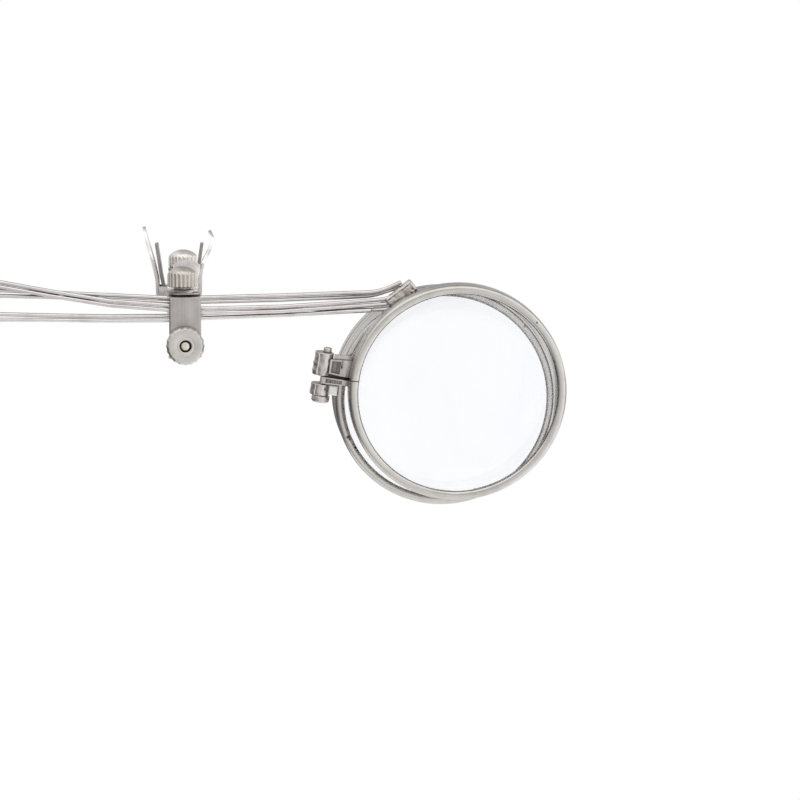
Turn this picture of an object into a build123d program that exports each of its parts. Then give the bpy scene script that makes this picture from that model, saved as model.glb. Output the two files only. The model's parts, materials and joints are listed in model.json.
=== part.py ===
from build123d import *
import math
import os

# Clip-on eyeglass loupe: a spring clip for the temple of a pair of spectacles,
# a short swinging link with two knurled pivots, a clamp that holds three
# hairpins of spring wire, and two lens rims joined by a small hinge.
# Millimetres, +Z up, the viewer of the photograph on -Y.
# The origin is the middle of the gap between the two jaws.

os.makedirs("parts", exist_ok=True)

# ---------------------------------------------------------------- dimensions
ARM_YAW = 3.0                    # the wires' frame is turned by this about Z
PIVOT_X = 0.60                   # x of the two upright pivots
FRONT_PIVOT_Y = -14.0
REAR_PIVOT_Y = -6.0
WIRE_R = 0.27                    # spring wire 0.54 mm
RING_PITCH = 5.5                 # the lens plane leans forward at the top
RIM_R = 14.4                     # lens rims 28.8 mm outside
RIM_DEPTH = 3.0
REAR_BACK = 5.1                  # the rear rim reaches this far behind its middle plane
FACE_R = 13.18                   # inner edge of the front face
BORE_R = 13.78
LENS_R = 13.72
LENS_CURVE = 72.0                # radius of the curved side of each lens
GLASS_SEAT = 0.75                # seat of the lens behind the front face
LENS_EDGE = 0.95
FRONT_P, FRONT_Q = 1.46, 1.47    # the front rim sits to the right and higher
RIM_GAP = 0.9                    # between the two rims
HINGE_LEAN = 8.41
HINGE_AT = (-16.02, 3.47)
PIN_R = 0.42
KNUCKLE_R = 1.25
PLATE_T = 0.55                   # clamp plates
PLATE_W = 4.1
CHANNEL = 0.70                   # half of the space between the clamp plates
NUT_Z = 0.42
NUT_R = 2.50
KNOB_R = 1.93
STRAP_T = 0.30
STRAP_LOW = 7.33                 # underside of the front end of the link
STRAP_HIGH = 9.72                # underside of the rear end of the link
STRAP_W = 4.0
JAW_T = 0.45
JAW_W = 4.9
PIN_Z = 6.2                      # clip pivot
GRIP = 0.75                      # half the thickness of the temple that is gripped

# ------------------------------------------------------------------- frames
CB, SB = math.cos(math.radians(ARM_YAW)), math.sin(math.radians(ARM_YAW))
ARM_X, ARM_Y = 0.85, FRONT_PIVOT_Y


def arm(u, v, z):
    """a point of the wires' frame: along the wires, backwards, up"""
    return (ARM_X + CB * u - SB * v, ARM_Y + SB * u + CB * v, z)


def turn(x, y, z):
    """a direction of the wires' frame"""
    return (CB * x - SB * y, SB * x + CB * y, z)


GP = math.radians(RING_PITCH)
RING_O = arm(34.25, 1.762, -7.053)
RING_X = Vector(*turn(1, 0, 0))
RING_Z = Vector(*turn(0, -math.cos(GP), -math.sin(GP)))
RING = Plane(origin=RING_O, x_dir=RING_X, z_dir=RING_Z)
RING_Y = RING.y_dir


def ring(p, q, h):
    """a point of the lens frame: right, up, towards the viewer"""
    return Vector(*RING_O) + RING_X * p + RING_Y * q + RING_Z * h


def ring_tuple(p, q, h):
    a = ring(p, q, h)
    return (a.X, a.Y, a.Z)


FRONT_H = RIM_DEPTH + RIM_GAP
HALF = RIM_DEPTH / 2
HL = math.radians(HINGE_LEAN)
HINGE_H = HALF + RIM_GAP / 2
HINGE_O = ring(HINGE_AT[0], HINGE_AT[1], HINGE_H)
HINGE_X = RING_X * math.cos(HL) - RING_Y * math.sin(HL)
HINGE_Z = RING_X * math.sin(HL) + RING_Y * math.cos(HL)
HINGE = Plane(origin=HINGE_O, x_dir=HINGE_X, z_dir=HINGE_Z)


def hinge_plane(t):
    return Plane(origin=HINGE_O + HINGE_Z * t, x_dir=HINGE_X, z_dir=HINGE_Z)


def in_hinge(p, q):
    """a point of the lens frame as seen along the hinge: across, along"""
    dp, dq = p - HINGE_AT[0], q - HINGE_AT[1]
    return (
        dp * math.cos(HL) - dq * math.sin(HL),
        dp * math.sin(HL) + dq * math.cos(HL),
    )


def radial(p, q, h):
    """plane with the radius of a ring along x and its axis along y"""
    return Plane(origin=ring(p, q, h), x_dir=RING_X, z_dir=RING_X.cross(RING_Z))


def ring_axis(p, q):
    return Axis(ring_tuple(p, q, 0), (RING_Z.X, RING_Z.Y, RING_Z.Z))


# ---------------------------------------------------------------- lens rims
def rim_outline(back, groove):
    """half section of a rim, x radius, y towards the viewer

    back is the depth behind the middle plane, groove the height of the
    turned line round the outside
    """
    Polyline(
        (FACE_R, HALF - 0.60),
        (FACE_R, HALF - 0.40),
        (FACE_R + 0.06, HALF - 0.22),
        (FACE_R + 0.20, HALF - 0.08),
        (FACE_R + 0.42, HALF),
        (RIM_R - 0.26, HALF),
        (RIM_R - 0.08, HALF - 0.08),
        (RIM_R, HALF - 0.26),
        (RIM_R, groove + 0.21),
        (RIM_R - 0.22, groove + 0.09),
        (RIM_R - 0.22, groove - 0.09),
        (RIM_R, groove - 0.21),
        (RIM_R, -back + 0.2),
        (RIM_R - 0.2, -back),
        (BORE_R + 0.06, -back),
        (BORE_R, -back + 0.06),
        (BORE_R, HALF - GLASS_SEAT),
        (FACE_R, HALF - 0.60),
    )


with BuildPart() as rear_lens_rim:
    with BuildSketch(radial(0, 0, 0)):
        with BuildLine():
            rim_outline(REAR_BACK, -3.1)
        make_face()
    revolve(axis=ring_axis(0, 0))

with BuildPart() as front_lens_rim:
    with BuildSketch(radial(FRONT_P, FRONT_Q, FRONT_H)):
        with BuildLine():
            rim_outline(HALF, 0.51)
        make_face()
    revolve(axis=ring_axis(FRONT_P, FRONT_Q))

SAG = LENS_CURVE - math.sqrt(LENS_CURVE**2 - LENS_R**2)

# the rear lens is flat in front and curved behind
with BuildPart() as rear_lens:
    with BuildSketch(radial(0, 0, HALF - GLASS_SEAT - 0.01)):
        with BuildLine():
            Polyline(
                (0, 0), (LENS_R - 0.08, 0), (LENS_R, -0.08), (LENS_R, -LENS_EDGE)
            )
            RadiusArc((LENS_R, -LENS_EDGE), (0, -LENS_EDGE - SAG), LENS_CURVE)
            Line((0, -LENS_EDGE - SAG), (0, 0))
        make_face()
    revolve(axis=ring_axis(0, 0))

# the front lens is curved in front and flat behind
with BuildPart() as front_lens:
    with BuildSketch(radial(FRONT_P, FRONT_Q, FRONT_H + HALF - GLASS_SEAT - 0.03)):
        with BuildLine():
            Polyline(
                (0, -LENS_EDGE - 0.05),
                (LENS_R - 0.08, -LENS_EDGE - 0.05),
                (LENS_R, -LENS_EDGE + 0.03),
                (LENS_R, -0.07),
            )
            RadiusArc((LENS_R, -0.07), (0, SAG - 0.07), -LENS_CURVE)
            Line((0, SAG - 0.07), (0, -LENS_EDGE - 0.05))
        make_face()
    revolve(axis=ring_axis(FRONT_P, FRONT_Q))

# sprung retaining rings behind each lens, open at the bottom
SNAP_R = 0.25
with BuildPart() as rear_lens_retainer:
    start = Plane(
        origin=ring(0, 0, HALF - GLASS_SEAT - LENS_EDGE - 0.42),
        x_dir=RING_X * math.cos(-1.5) + RING_Y * math.sin(-1.5),
        z_dir=(RING_X * math.cos(-1.5) + RING_Y * math.sin(-1.5)).cross(RING_Z),
    )
    with BuildSketch(start):
        with Locations((BORE_R - SNAP_R - 0.02, 0)):
            Circle(SNAP_R)
    revolve(axis=ring_axis(0, 0), revolution_arc=348)

with BuildPart() as front_lens_retainer:
    start = Plane(
        origin=ring(
            FRONT_P, FRONT_Q, FRONT_H + HALF - GLASS_SEAT - LENS_EDGE - 0.10 - SNAP_R
        ),
        x_dir=RING_X * math.cos(-1.4) + RING_Y * math.sin(-1.4),
        z_dir=(RING_X * math.cos(-1.4) + RING_Y * math.sin(-1.4)).cross(RING_Z),
    )
    with BuildSketch(start):
        with Locations((BORE_R - SNAP_R - 0.02, 0)):
            Circle(SNAP_R)
    revolve(axis=ring_axis(FRONT_P, FRONT_Q), revolution_arc=348)

# -------------------------------------------------------------------- hinge
FX, FT = in_hinge(FRONT_P, FRONT_Q)      # middle of the front rim from the hinge
QX, QT = in_hinge(0, 0)                  # middle of the rear rim from the hinge

with BuildPart() as front_hinge_leaf:
    # rolled knuckle
    with BuildSketch(hinge_plane(0.04)):
        with Locations((-0.32, 0)):
            Circle(KNUCKLE_R)
        Circle(PIN_R + 0.03, mode=Mode.SUBTRACT)
    extrude(amount=3.1)
    # thin plate that reaches the rim
    with BuildSketch(hinge_plane(-0.93)):
        with Locations((2.30, -0.72)):
            Rectangle(3.4, 0.36)
    extrude(amount=0.90)
    with BuildSketch(hinge_plane(-0.04)):
        with Locations((2.30, -0.72)):
            Rectangle(3.4, 0.36)
        Circle(KNUCKLE_R - 0.2, mode=Mode.SUBTRACT)
    extrude(amount=3.18)
    # thick upper leaf
    with BuildSketch(hinge_plane(0.42)):
        with Locations((2.35, -1.02)):
            Rectangle(3.5, 0.60)
        Circle(KNUCKLE_R - 0.2, mode=Mode.SUBTRACT)
    extrude(amount=2.08)
    # narrow lower bar, its free end in front of the pin
    with BuildSketch(hinge_plane(-0.93)):
        with Locations((1.9, -1.02)):
            Rectangle(4.4, 0.5)
    extrude(amount=0.98)
    # soldered against the wall of the front rim
    with BuildSketch(
        Plane(origin=ring(FRONT_P, FRONT_Q, 0), x_dir=RING_X, z_dir=RING_Z)
    ):
        Circle(RIM_R + 0.005)
    extrude(amount=9, mode=Mode.SUBTRACT)

with BuildPart() as rear_hinge_leaf:
    with BuildSketch(hinge_plane(-2.62)):
        with Locations((-0.25, 0)):
            Circle(KNUCKLE_R)
        Circle(PIN_R, mode=Mode.SUBTRACT)
    extrude(amount=1.58)
    with BuildSketch(hinge_plane(-2.62)):
        with Locations((1.55, 0.64)):
            Rectangle(3.1, 0.7)
        Circle(KNUCKLE_R - 0.2, mode=Mode.SUBTRACT)
    extrude(amount=1.52)
    with BuildSketch(Plane(origin=ring(0, 0, -3), x_dir=RING_X, z_dir=RING_Z)):
        Circle(RIM_R + 0.005)
    extrude(amount=9, mode=Mode.SUBTRACT)

with BuildPart() as hinge_pin:
    with BuildSketch(hinge_plane(-3.3)):
        Circle(PIN_R)
    extrude(amount=6.6)
    with BuildSketch(hinge_plane(-3.55)):
        Circle(1.18)
    extrude(amount=0.90)
    chamfer(hinge_pin.faces().sort_by(Axis(tuple(HINGE_O), tuple(HINGE_Z)))[0].edges(), 0.2)
    with BuildSketch(hinge_plane(3.17)):
        Circle(0.54)
    extrude(amount=0.60)
    fillet(hinge_pin.faces().sort_by(Axis(tuple(HINGE_O), tuple(HINGE_Z)))[-1].edges(), 0.15)

# -------------------------------------------------------------------- wires
# the ferrule lies on the front edge of the rear rim and beside the front rim
FERRULE_P, FERRULE_Q = -5.85, 14.14
FERRULE_DIR = math.radians(38.9)
FERRULE_L, FERRULE_W = 4.3, 1.86
FD = RING_X * math.cos(FERRULE_DIR) + RING_Y * math.sin(FERRULE_DIR)
FN = RING_Y * math.cos(FERRULE_DIR) - RING_X * math.sin(FERRULE_DIR)

def on_ferrule(along, across, h):
    """a point beside the ferrule, in the wires' frame"""
    a = ring(FERRULE_P, FERRULE_Q, h) + FD * along + FN * across
    return (a.X, a.Y, a.Z)



def bends(points):
    """largest bend radius that fits at each corner, up to 8"""
    out = []
    for a, b, c in zip(points, points[1:], points[2:]):
        p, q = Vector(*b) - Vector(*a), Vector(*c) - Vector(*b)
        half = math.radians(max(p.get_angle(q), 0.05)) / 2
        room = 0.42 * min(p.length, q.length)
        out.append(min(8.0, room / math.tan(half)))
    return out


def wire(points):
    FilletPolyline(*points, radius=bends(points))


UPPER = [
    on_ferrule(1.0, 1.14, 0.95),
    on_ferrule(-2.15, 2.03, 0.95),
    arm(21.1, -0.10, 7.02),
    arm(12.5, 0.20, 6.74),
    arm(2.7, 0.30, 6.55),
    arm(-2.5, 0.30, 6.56),
    arm(-9.7, 0.30, 6.95),
    arm(-17.5, 0.30, 7.34),
    arm(-29.0, 0.30, 7.95),
    arm(-33.5, 0.30, 8.55),
    arm(-35.2, 0.30, 7.45),
    arm(-33.2, 0.30, 6.55),
    arm(-29.0, 0.30, 7.12),
    arm(-17.5, 0.30, 6.74),
    arm(-9.7, 0.30, 6.35),
    arm(-2.5, 0.30, 5.96),
    arm(2.7, 0.30, 5.96),
    arm(12.5, 0.30, 6.14),
    arm(21.1, 0.28, 6.42),
    arm(24.8, 0.12, 6.62),
    arm(28.4, -0.08, 7.80),
]

MIDDLE = [
    on_ferrule(0.9, 0.58, 1.86),
    on_ferrule(-1.6, 0.58, 1.86),
    arm(21.1, -0.95, 5.84),
    arm(12.5, -0.30, 5.30),
    arm(2.7, -0.30, 5.16),
    arm(-2.5, -0.30, 5.64),
    arm(-9.7, -0.30, 6.24),
    arm(-17.5, -0.30, 7.56),
    arm(-24.0, -0.30, 8.80),
    arm(-30.0, -0.30, 10.10),
    arm(-34.2, -0.30, 11.70),
    arm(-36.1, -0.30, 11.20),
    arm(-34.4, -0.30, 9.90),
    arm(-30.0, -0.30, 9.25),
    arm(-24.0, -0.30, 8.20),
    arm(-17.5, -0.30, 6.97),
    arm(-9.7, -0.30, 5.65),
    arm(-2.5, -0.30, 5.03),
    arm(2.7, -0.30, 4.56),
    arm(12.5, -0.30, 4.68),
    arm(21.1, -0.95, 5.28),
    on_ferrule(-1.93, 0.0, 1.86),
    on_ferrule(0.5, 0.0, 1.86),
]

LOWER = [
    on_ferrule(0.2, -0.58, 1.86),
    on_ferrule(-2.4, -0.58, 1.86),
    arm(24.4, -0.85, 4.86),
    arm(21.1, -0.30, 4.78),
    arm(16.5, 0.0, 4.92),
    arm(12.5, 0.30, 4.76),
    arm(8.0, 0.30, 4.60),
    arm(2.7, 0.30, 4.46),
    arm(-2.5, 0.30, 4.18),
    arm(-9.7, 0.10, 4.18),
    arm(-17.5, 0.0, 4.38),
    arm(-29.0, 0.0, 4.75),
    arm(-33.0, 0.0, 5.25),
    arm(-34.7, 0.0, 4.30),
    arm(-32.8, 0.0, 3.35),
    arm(-29.0, 0.0, 3.92),
    arm(-17.5, 0.0, 3.79),
    arm(-9.7, 0.10, 3.59),
    arm(-2.5, 0.10, 3.58),
    arm(2.7, 0.10, 3.86),
    arm(8.0, 0.10, 4.02),
    arm(12.5, 0.02, 4.15),
    arm(16.5, -0.45, 4.34),
    arm(21.1, -0.95, 4.64),
    arm(24.4, -1.47, 4.80),
]

with BuildPart() as arm_wire_upper:
    with BuildLine() as path:
        wire(UPPER)
    with BuildSketch(Plane(origin=path.wires()[0] @ 0, z_dir=path.wires()[0] % 0)):
        Circle(WIRE_R)
    sweep()

with BuildPart() as arm_wire_middle:
    with BuildLine() as path:
        wire(MIDDLE)
    with BuildSketch(Plane(origin=path.wires()[0] @ 0, z_dir=path.wires()[0] % 0)):
        Circle(WIRE_R)
    sweep()

with BuildPart() as arm_wire_lower:
    with BuildLine() as path:
        wire(LOWER)
    with BuildSketch(Plane(origin=path.wires()[0] @ 0, z_dir=path.wires()[0] % 0)):
        Circle(WIRE_R)
    sweep()

with BuildPart() as wire_ferrule:
    with BuildSketch(
        Plane(
            origin=ring(FERRULE_P, FERRULE_Q, 1.62) - FD * (FERRULE_L / 2),
            x_dir=FN,
            z_dir=FD,
        )
    ):
        RectangleRounded(FERRULE_W, 2.2, 0.55)
    extrude(amount=FERRULE_L)
    # solder that fills the wedge between it and the wall of the rear rim
    with BuildSketch(
        Plane(
            origin=ring(FERRULE_P, FERRULE_Q, 1.02) - FD * (FERRULE_L / 2 - 0.35),
            x_dir=FN,
            z_dir=FD,
        )
    ):
        with Locations((-0.75, 0)):
            RectangleRounded(0.95, 0.90, 0.2)
    extrude(amount=FERRULE_L - 0.7)
    # clear of both rims
    with BuildSketch(Plane(origin=ring(0, 0, -2), x_dir=RING_X, z_dir=RING_Z)):
        Circle(RIM_R + 0.005)
    extrude(amount=2 + HALF + 0.005, mode=Mode.SUBTRACT)
    with BuildSketch(
        Plane(origin=ring(FRONT_P, FRONT_Q, HALF + 0.58), x_dir=RING_X, z_dir=RING_Z)
    ):
        Circle(RIM_R + 0.32)
    extrude(amount=4, mode=Mode.SUBTRACT)
    # sockets of the wires that are soldered into it
    for piece in (arm_wire_upper, arm_wire_middle, arm_wire_lower):
        add(piece.part, mode=Mode.SUBTRACT)


# -------------------------------------------------------------- wire clamp
PLATE_U = 0.08                   # the plates sit a little to the right


def face_plane(v, u=0.0, z=0.0):
    """upright plane that faces the viewer in the wires' frame"""
    return Plane(origin=arm(u, v, z), x_dir=turn(1, 0, 0), z_dir=turn(0, -1, 0))


def flat_plane(u, v, z):
    """level plane turned with the wires"""
    return Plane(origin=arm(u, v, z), x_dir=turn(1, 0, 0), z_dir=(0, 0, 1))


TOP_PLATE = 7.05                 # underside of the flange over the wires
FLANGE_T = 0.20

with BuildPart() as clamp_front_plate:
    with BuildSketch(face_plane(-CHANNEL)):
        with Locations((PLATE_U, 3.45)):
            Rectangle(PLATE_W, 6.6)
        with Locations((PLATE_U, NUT_Z)):
            Circle(PLATE_W / 2)
    extrude(amount=PLATE_T)
    fillet(
        clamp_front_plate.edges()
        .filter_by(Axis((0, 0, 0), turn(0, 1, 0)))
        .group_by(Axis.Z)[-1],
        0.45,
    )
    fillet(
        clamp_front_plate.faces()
        .sort_by(Axis((0, 0, 0), turn(0, -1, 0)))[-1]
        .outer_wire()
        .edges(),
        0.16,
    )
    with BuildSketch(face_plane(-CHANNEL)):
        with Locations((0, NUT_Z)):
            Circle(0.72)
    extrude(amount=PLATE_T, mode=Mode.SUBTRACT)

with BuildPart() as clamp_back_plate:
    with BuildSketch(face_plane(CHANNEL + PLATE_T)):
        with Locations((PLATE_U, (TOP_PLATE + FLANGE_T + 0.15) / 2)):
            Rectangle(PLATE_W, TOP_PLATE + FLANGE_T - 0.15)
        with Locations((PLATE_U, NUT_Z)):
            Circle(PLATE_W / 2)
    extrude(amount=PLATE_T)
    # flange folded forward over the wires
    with BuildSketch(flat_plane(0, 0, TOP_PLATE)):
        with Locations((PLATE_U, 0.0)):
            Rectangle(PLATE_W, 2 * (CHANNEL + PLATE_T))
    extrude(amount=FLANGE_T)
    fillet(
        clamp_back_plate.edges()
        .filter_by(Axis((0, 0, 0), turn(1, 0, 0)))
        .filter_by(lambda e: e.center().Z > TOP_PLATE + FLANGE_T - 0.02)
        .sort_by(Axis((0, 0, 0), turn(0, 1, 0)))[-1],
        0.30,
    )
    fillet(
        clamp_back_plate.edges()
        .filter_by(Axis.Z)
        .filter_by(lambda e: e.center().Z > TOP_PLATE)
        .sort_by(Axis((0, 0, 0), turn(0, 1, 0)))[:2],
        1.0,
    )
    with BuildSketch(face_plane(CHANNEL + PLATE_T)):
        with Locations((0, NUT_Z)):
            Circle(0.62)
    extrude(amount=PLATE_T, mode=Mode.SUBTRACT)
    with BuildSketch(flat_plane(PIVOT_X - ARM_X, 0, TOP_PLATE)):
        Circle(0.75)
    extrude(amount=FLANGE_T, mode=Mode.SUBTRACT)

# brass screw, its head behind the clamp
with BuildPart() as clamp_screw:
    with BuildSketch(face_plane(CHANNEL + PLATE_T + 0.7)):
        with Locations((0, NUT_Z)):
            Circle(1.25)
    extrude(amount=0.695)
    with BuildSketch(face_plane(CHANNEL + PLATE_T + 0.2)):
        with Locations((0, NUT_Z)):
            Circle(0.62)
    extrude(amount=4.42)
    fillet(
        clamp_screw.faces().sort_by(Axis((0, 0, 0), turn(0, -1, 0)))[-1].edges(), 0.15
    )
    with BuildSketch(face_plane(CHANNEL + PLATE_T + 0.7)):
        with Locations((0, NUT_Z)):
            Rectangle(2.6, 0.3)
    extrude(amount=0.3, mode=Mode.SUBTRACT)

# knurled nut that faces the viewer
NUT_BACK = CHANNEL + PLATE_T + 0.03
NUT_T = 1.85
with BuildPart() as clamp_nut:
    with BuildSketch(face_plane(-NUT_BACK)):
        with Locations((0, NUT_Z)):
            Circle(NUT_R)
    extrude(amount=NUT_T)
    chamfer(
        clamp_nut.edges().filter_by(GeomType.CIRCLE).sort_by(Axis((0, 0, 0), turn(0, -1, 0)))[-1],
        0.32,
    )
    with BuildSketch(face_plane(-NUT_BACK)):
        with Locations((0, NUT_Z)):
            with PolarLocations(NUT_R + 0.245, 20):
                Circle(0.32)
    extrude(amount=NUT_T, mode=Mode.SUBTRACT)
    with BuildSketch(face_plane(-NUT_BACK)):
        with Locations((0, NUT_Z)):
            Circle(0.66)
    extrude(amount=NUT_T, mode=Mode.SUBTRACT)
    with BuildSketch(face_plane(-NUT_BACK - NUT_T)):
        with Locations((0, NUT_Z)):
            Circle(0.80)
    extrude(amount=-0.30, mode=Mode.SUBTRACT)
    with BuildSketch(face_plane(-NUT_BACK - NUT_T)):
        with Locations((0, NUT_Z)):
            Circle(1.14)
            Circle(1.02, mode=Mode.SUBTRACT)
    extrude(amount=-0.10, mode=Mode.SUBTRACT)


# --------------------------------------------------------- upright pivots
def up(z, y):
    return Plane(origin=(PIVOT_X, y, z), x_dir=(1, 0, 0), z_dir=(0, 0, 1))


FRONT_SIDE = 0.05
# post riveted in the flange of the clamp
with BuildPart() as front_pivot_post:
    with BuildSketch(up(TOP_PLATE, FRONT_PIVOT_Y)):
        Circle(0.745)
    extrude(amount=FLANGE_T + 0.1)
    with BuildSketch(up(TOP_PLATE + FLANGE_T, FRONT_PIVOT_Y)):
        Circle(1.05)
    extrude(amount=STRAP_LOW + STRAP_T + 0.02 - TOP_PLATE - FLANGE_T)
    with BuildSketch(up(STRAP_LOW + STRAP_T, FRONT_PIVOT_Y)):
        Circle(0.70)
    extrude(amount=1.75)
    chamfer(front_pivot_post.faces().sort_by(Axis.Z)[-1].edges(), 0.15)

with BuildPart() as front_friction_washer:
    with BuildSketch(up(TOP_PLATE + FLANGE_T + 0.005, FRONT_PIVOT_Y)):
        Circle(1.75)
        Circle(1.08, mode=Mode.SUBTRACT)
    extrude(amount=0.06)

KNOB_LOW = STRAP_LOW + STRAP_T + 0.03
NECK_H, NECK_R = 0.27, 1.13      # collar between the link and the knurl
KNURL_LOW, KNURL_H = KNOB_LOW + NECK_H, 1.81
with BuildPart() as front_pivot_knob:
    with BuildSketch(up(KNURL_LOW, FRONT_PIVOT_Y)):
        Circle(KNOB_R)
    extrude(amount=KNURL_H)
    with BuildSketch(up(KNURL_LOW, FRONT_PIVOT_Y)):
        with PolarLocations(KNOB_R + 0.06, 22):
            Circle(0.19)
    extrude(amount=KNURL_H, mode=Mode.SUBTRACT)
    with BuildSketch(up(KNOB_LOW, FRONT_PIVOT_Y)):
        Circle(NECK_R)
    extrude(amount=NECK_H + 0.1)
    with BuildSketch(Plane(origin=(PIVOT_X, FRONT_PIVOT_Y, KNURL_LOW + KNURL_H), x_dir=(1, 0, 0), z_dir=(0, -1, 0))):
        with BuildLine():
            Line((0, 0), (KNOB_R - 0.08, 0))
            ThreePointArc((KNOB_R - 0.08, 0), (1.30, 0.63), (0, 0.98))
            Line((0, 0.98), (0, 0))
        make_face()
    revolve(axis=Axis((PIVOT_X, FRONT_PIVOT_Y, 0), (0, 0, 1)))
    with BuildSketch(up(KNOB_LOW, FRONT_PIVOT_Y)):
        Circle(0.74)
    extrude(amount=1.9, mode=Mode.SUBTRACT)

# cranked link between the two pivots
RISER_Y = FRONT_PIVOT_Y + 2.75
ARCH_TOP, ARCH_SIDE = 11.30, 10.70
ARCH_LEFT, ARCH_RIGHT = -1.25, 2.30  # the arch is cut a little to the right
with BuildPart() as link_strap:
    # front end and the foot of the riser
    with BuildSketch(Plane(origin=(PIVOT_X, 0, 0), x_dir=(0, 1, 0), z_dir=(1, 0, 0))):
        with BuildLine():
            FilletPolyline(
                (FRONT_PIVOT_Y - 2.0, STRAP_LOW + STRAP_T / 2),
                (RISER_Y, STRAP_LOW + STRAP_T / 2),
                (RISER_Y, 9.1),
                radius=0.42,
            )
        trace(line_width=STRAP_T)
    extrude(amount=STRAP_W / 2, both=True)
    fillet(link_strap.edges().filter_by(Axis.Z).group_by(Axis.Y)[0], 1.9)
    # the riser ends in an arch behind the front knob
    with BuildSketch(Plane(origin=(PIVOT_X, RISER_Y + STRAP_T / 2, 0), x_dir=(1, 0, 0), z_dir=(0, -1, 0))):
        with BuildLine():
            Polyline(
                (ARCH_LEFT, ARCH_SIDE),
                (ARCH_LEFT, 9.75),
                (-STRAP_W / 2, 9.0),
                (-STRAP_W / 2, 8.9),
                (STRAP_W / 2, 8.9),
                (STRAP_W / 2, 9.0),
                (ARCH_RIGHT, 9.75),
                (ARCH_RIGHT, ARCH_SIDE),
            )
            ThreePointArc(
                (ARCH_RIGHT, ARCH_SIDE),
                ((ARCH_LEFT + ARCH_RIGHT) / 2, ARCH_TOP),
                (ARCH_LEFT, ARCH_SIDE),
            )
        make_face()
    extrude(amount=STRAP_T)
    # rear end, a disc on a neck
    with BuildSketch(Plane(origin=(PIVOT_X, 0, STRAP_HIGH), x_dir=(1, 0, 0), z_dir=(0, 0, 1))):
        with Locations((0, (RISER_Y + REAR_PIVOT_Y) / 2)):
            Rectangle(2.5, REAR_PIVOT_Y - RISER_Y)
        with Locations((0, REAR_PIVOT_Y)):
            Circle(2.0)
    extrude(amount=STRAP_T)
    with BuildSketch(up(STRAP_LOW - 0.5, FRONT_PIVOT_Y)):
        Circle(1.10)
    extrude(amount=STRAP_T + 1, mode=Mode.SUBTRACT)
    with BuildSketch(up(STRAP_HIGH - 0.5, REAR_PIVOT_Y)):
        Circle(1.10)
    extrude(amount=STRAP_T + 1, mode=Mode.SUBTRACT)

# post riveted in the tongue of the clip
TONGUE_Z = 9.22
TONGUE_T = 0.40
with BuildPart() as rear_pivot_post:
    with BuildSketch(up(TONGUE_Z - 0.25, REAR_PIVOT_Y)):
        Circle(1.05)
    extrude(amount=0.245)
    with BuildSketch(up(TONGUE_Z - 0.1, REAR_PIVOT_Y)):
        Circle(0.745)
    extrude(amount=TONGUE_T + 0.2)
    with BuildSketch(up(TONGUE_Z + TONGUE_T, REAR_PIVOT_Y)):
        Circle(1.05)
    extrude(amount=STRAP_HIGH + STRAP_T + 0.02 - TONGUE_Z - TONGUE_T)
    with BuildSketch(up(STRAP_HIGH + STRAP_T, REAR_PIVOT_Y)):
        Circle(0.70)
    extrude(amount=1.40)
    chamfer(rear_pivot_post.faces().sort_by(Axis.Z)[-1].edges(), 0.12)

with BuildPart() as rear_friction_washer:
    with BuildSketch(up(TONGUE_Z + TONGUE_T + 0.005, REAR_PIVOT_Y)):
        Circle(1.75)
        Circle(1.08, mode=Mode.SUBTRACT)
    extrude(amount=0.07)

REAR_LOW = STRAP_HIGH + STRAP_T + 0.03
REAR_KNURL_H = 1.45
with BuildPart() as rear_pivot_knob:
    with BuildSketch(up(REAR_LOW, REAR_PIVOT_Y)):
        Circle(KNOB_R)
    extrude(amount=REAR_KNURL_H)
    with BuildSketch(up(REAR_LOW, REAR_PIVOT_Y)):
        with PolarLocations(KNOB_R + 0.06, 22):
            Circle(0.19)
    extrude(amount=REAR_KNURL_H, mode=Mode.SUBTRACT)
    with BuildSketch(Plane(origin=(PIVOT_X, REAR_PIVOT_Y, REAR_LOW + REAR_KNURL_H), x_dir=(1, 0, 0), z_dir=(0, -1, 0))):
        with BuildLine():
            Line((0, 0), (KNOB_R - 0.08, 0))
            ThreePointArc((KNOB_R - 0.08, 0), (1.30, 0.60), (0, 0.94))
            Line((0, 0.94), (0, 0))
        make_face()
    revolve(axis=Axis((PIVOT_X, REAR_PIVOT_Y, 0), (0, 0, 1)))
    with BuildSketch(up(REAR_LOW, REAR_PIVOT_Y)):
        Circle(0.74)
    extrude(amount=1.55, mode=Mode.SUBTRACT)

# --------------------------------------------------------------------- clip
JC = JAW_T / 2


# middle lines of the two finger tabs, x away from the middle and z
TAB_LEFT = [(4.75, 15.15), (4.45, 13.70), (3.52, 10.60), (2.98, 8.20), (2.88, 5.90)]
TAB_RIGHT = [(4.05, 14.62), (4.55, 13.55), (4.02, 11.95), (3.14, 10.25), (2.80, 8.20), (2.76, 5.90)]


def jaw_line(s, tab):
    """middle line of a jaw from its tip to its grip, s is the side"""
    FilletPolyline(
        *[(s * x, z) for x, z in tab],
        (s * (GRIP + JC), 3.10),
        (s * (GRIP + JC), -1.90),
        (s * (GRIP + JC + 0.40), -2.55),
        radius=[1.2, 4.0, 4.0, 0.9, 0.9, 0.5] if s < 0 else [0.7, 2.5, 3.0, 4.0, 0.9, 0.9, 0.5],
    )


def side(y):
    """upright plane that faces the viewer"""
    return Plane(origin=(0, y, 0), x_dir=(1, 0, 0), z_dir=(0, -1, 0))


TAB = [(-2.5, 10.9), (-2.5, 16.0), (0, 16.0), (0, 15.32), (-0.55, 15.1), (-1.3, 14.3), (-1.85, 12.9), (-2.1, 11.6), (-2.45, 10.9)]

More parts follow.
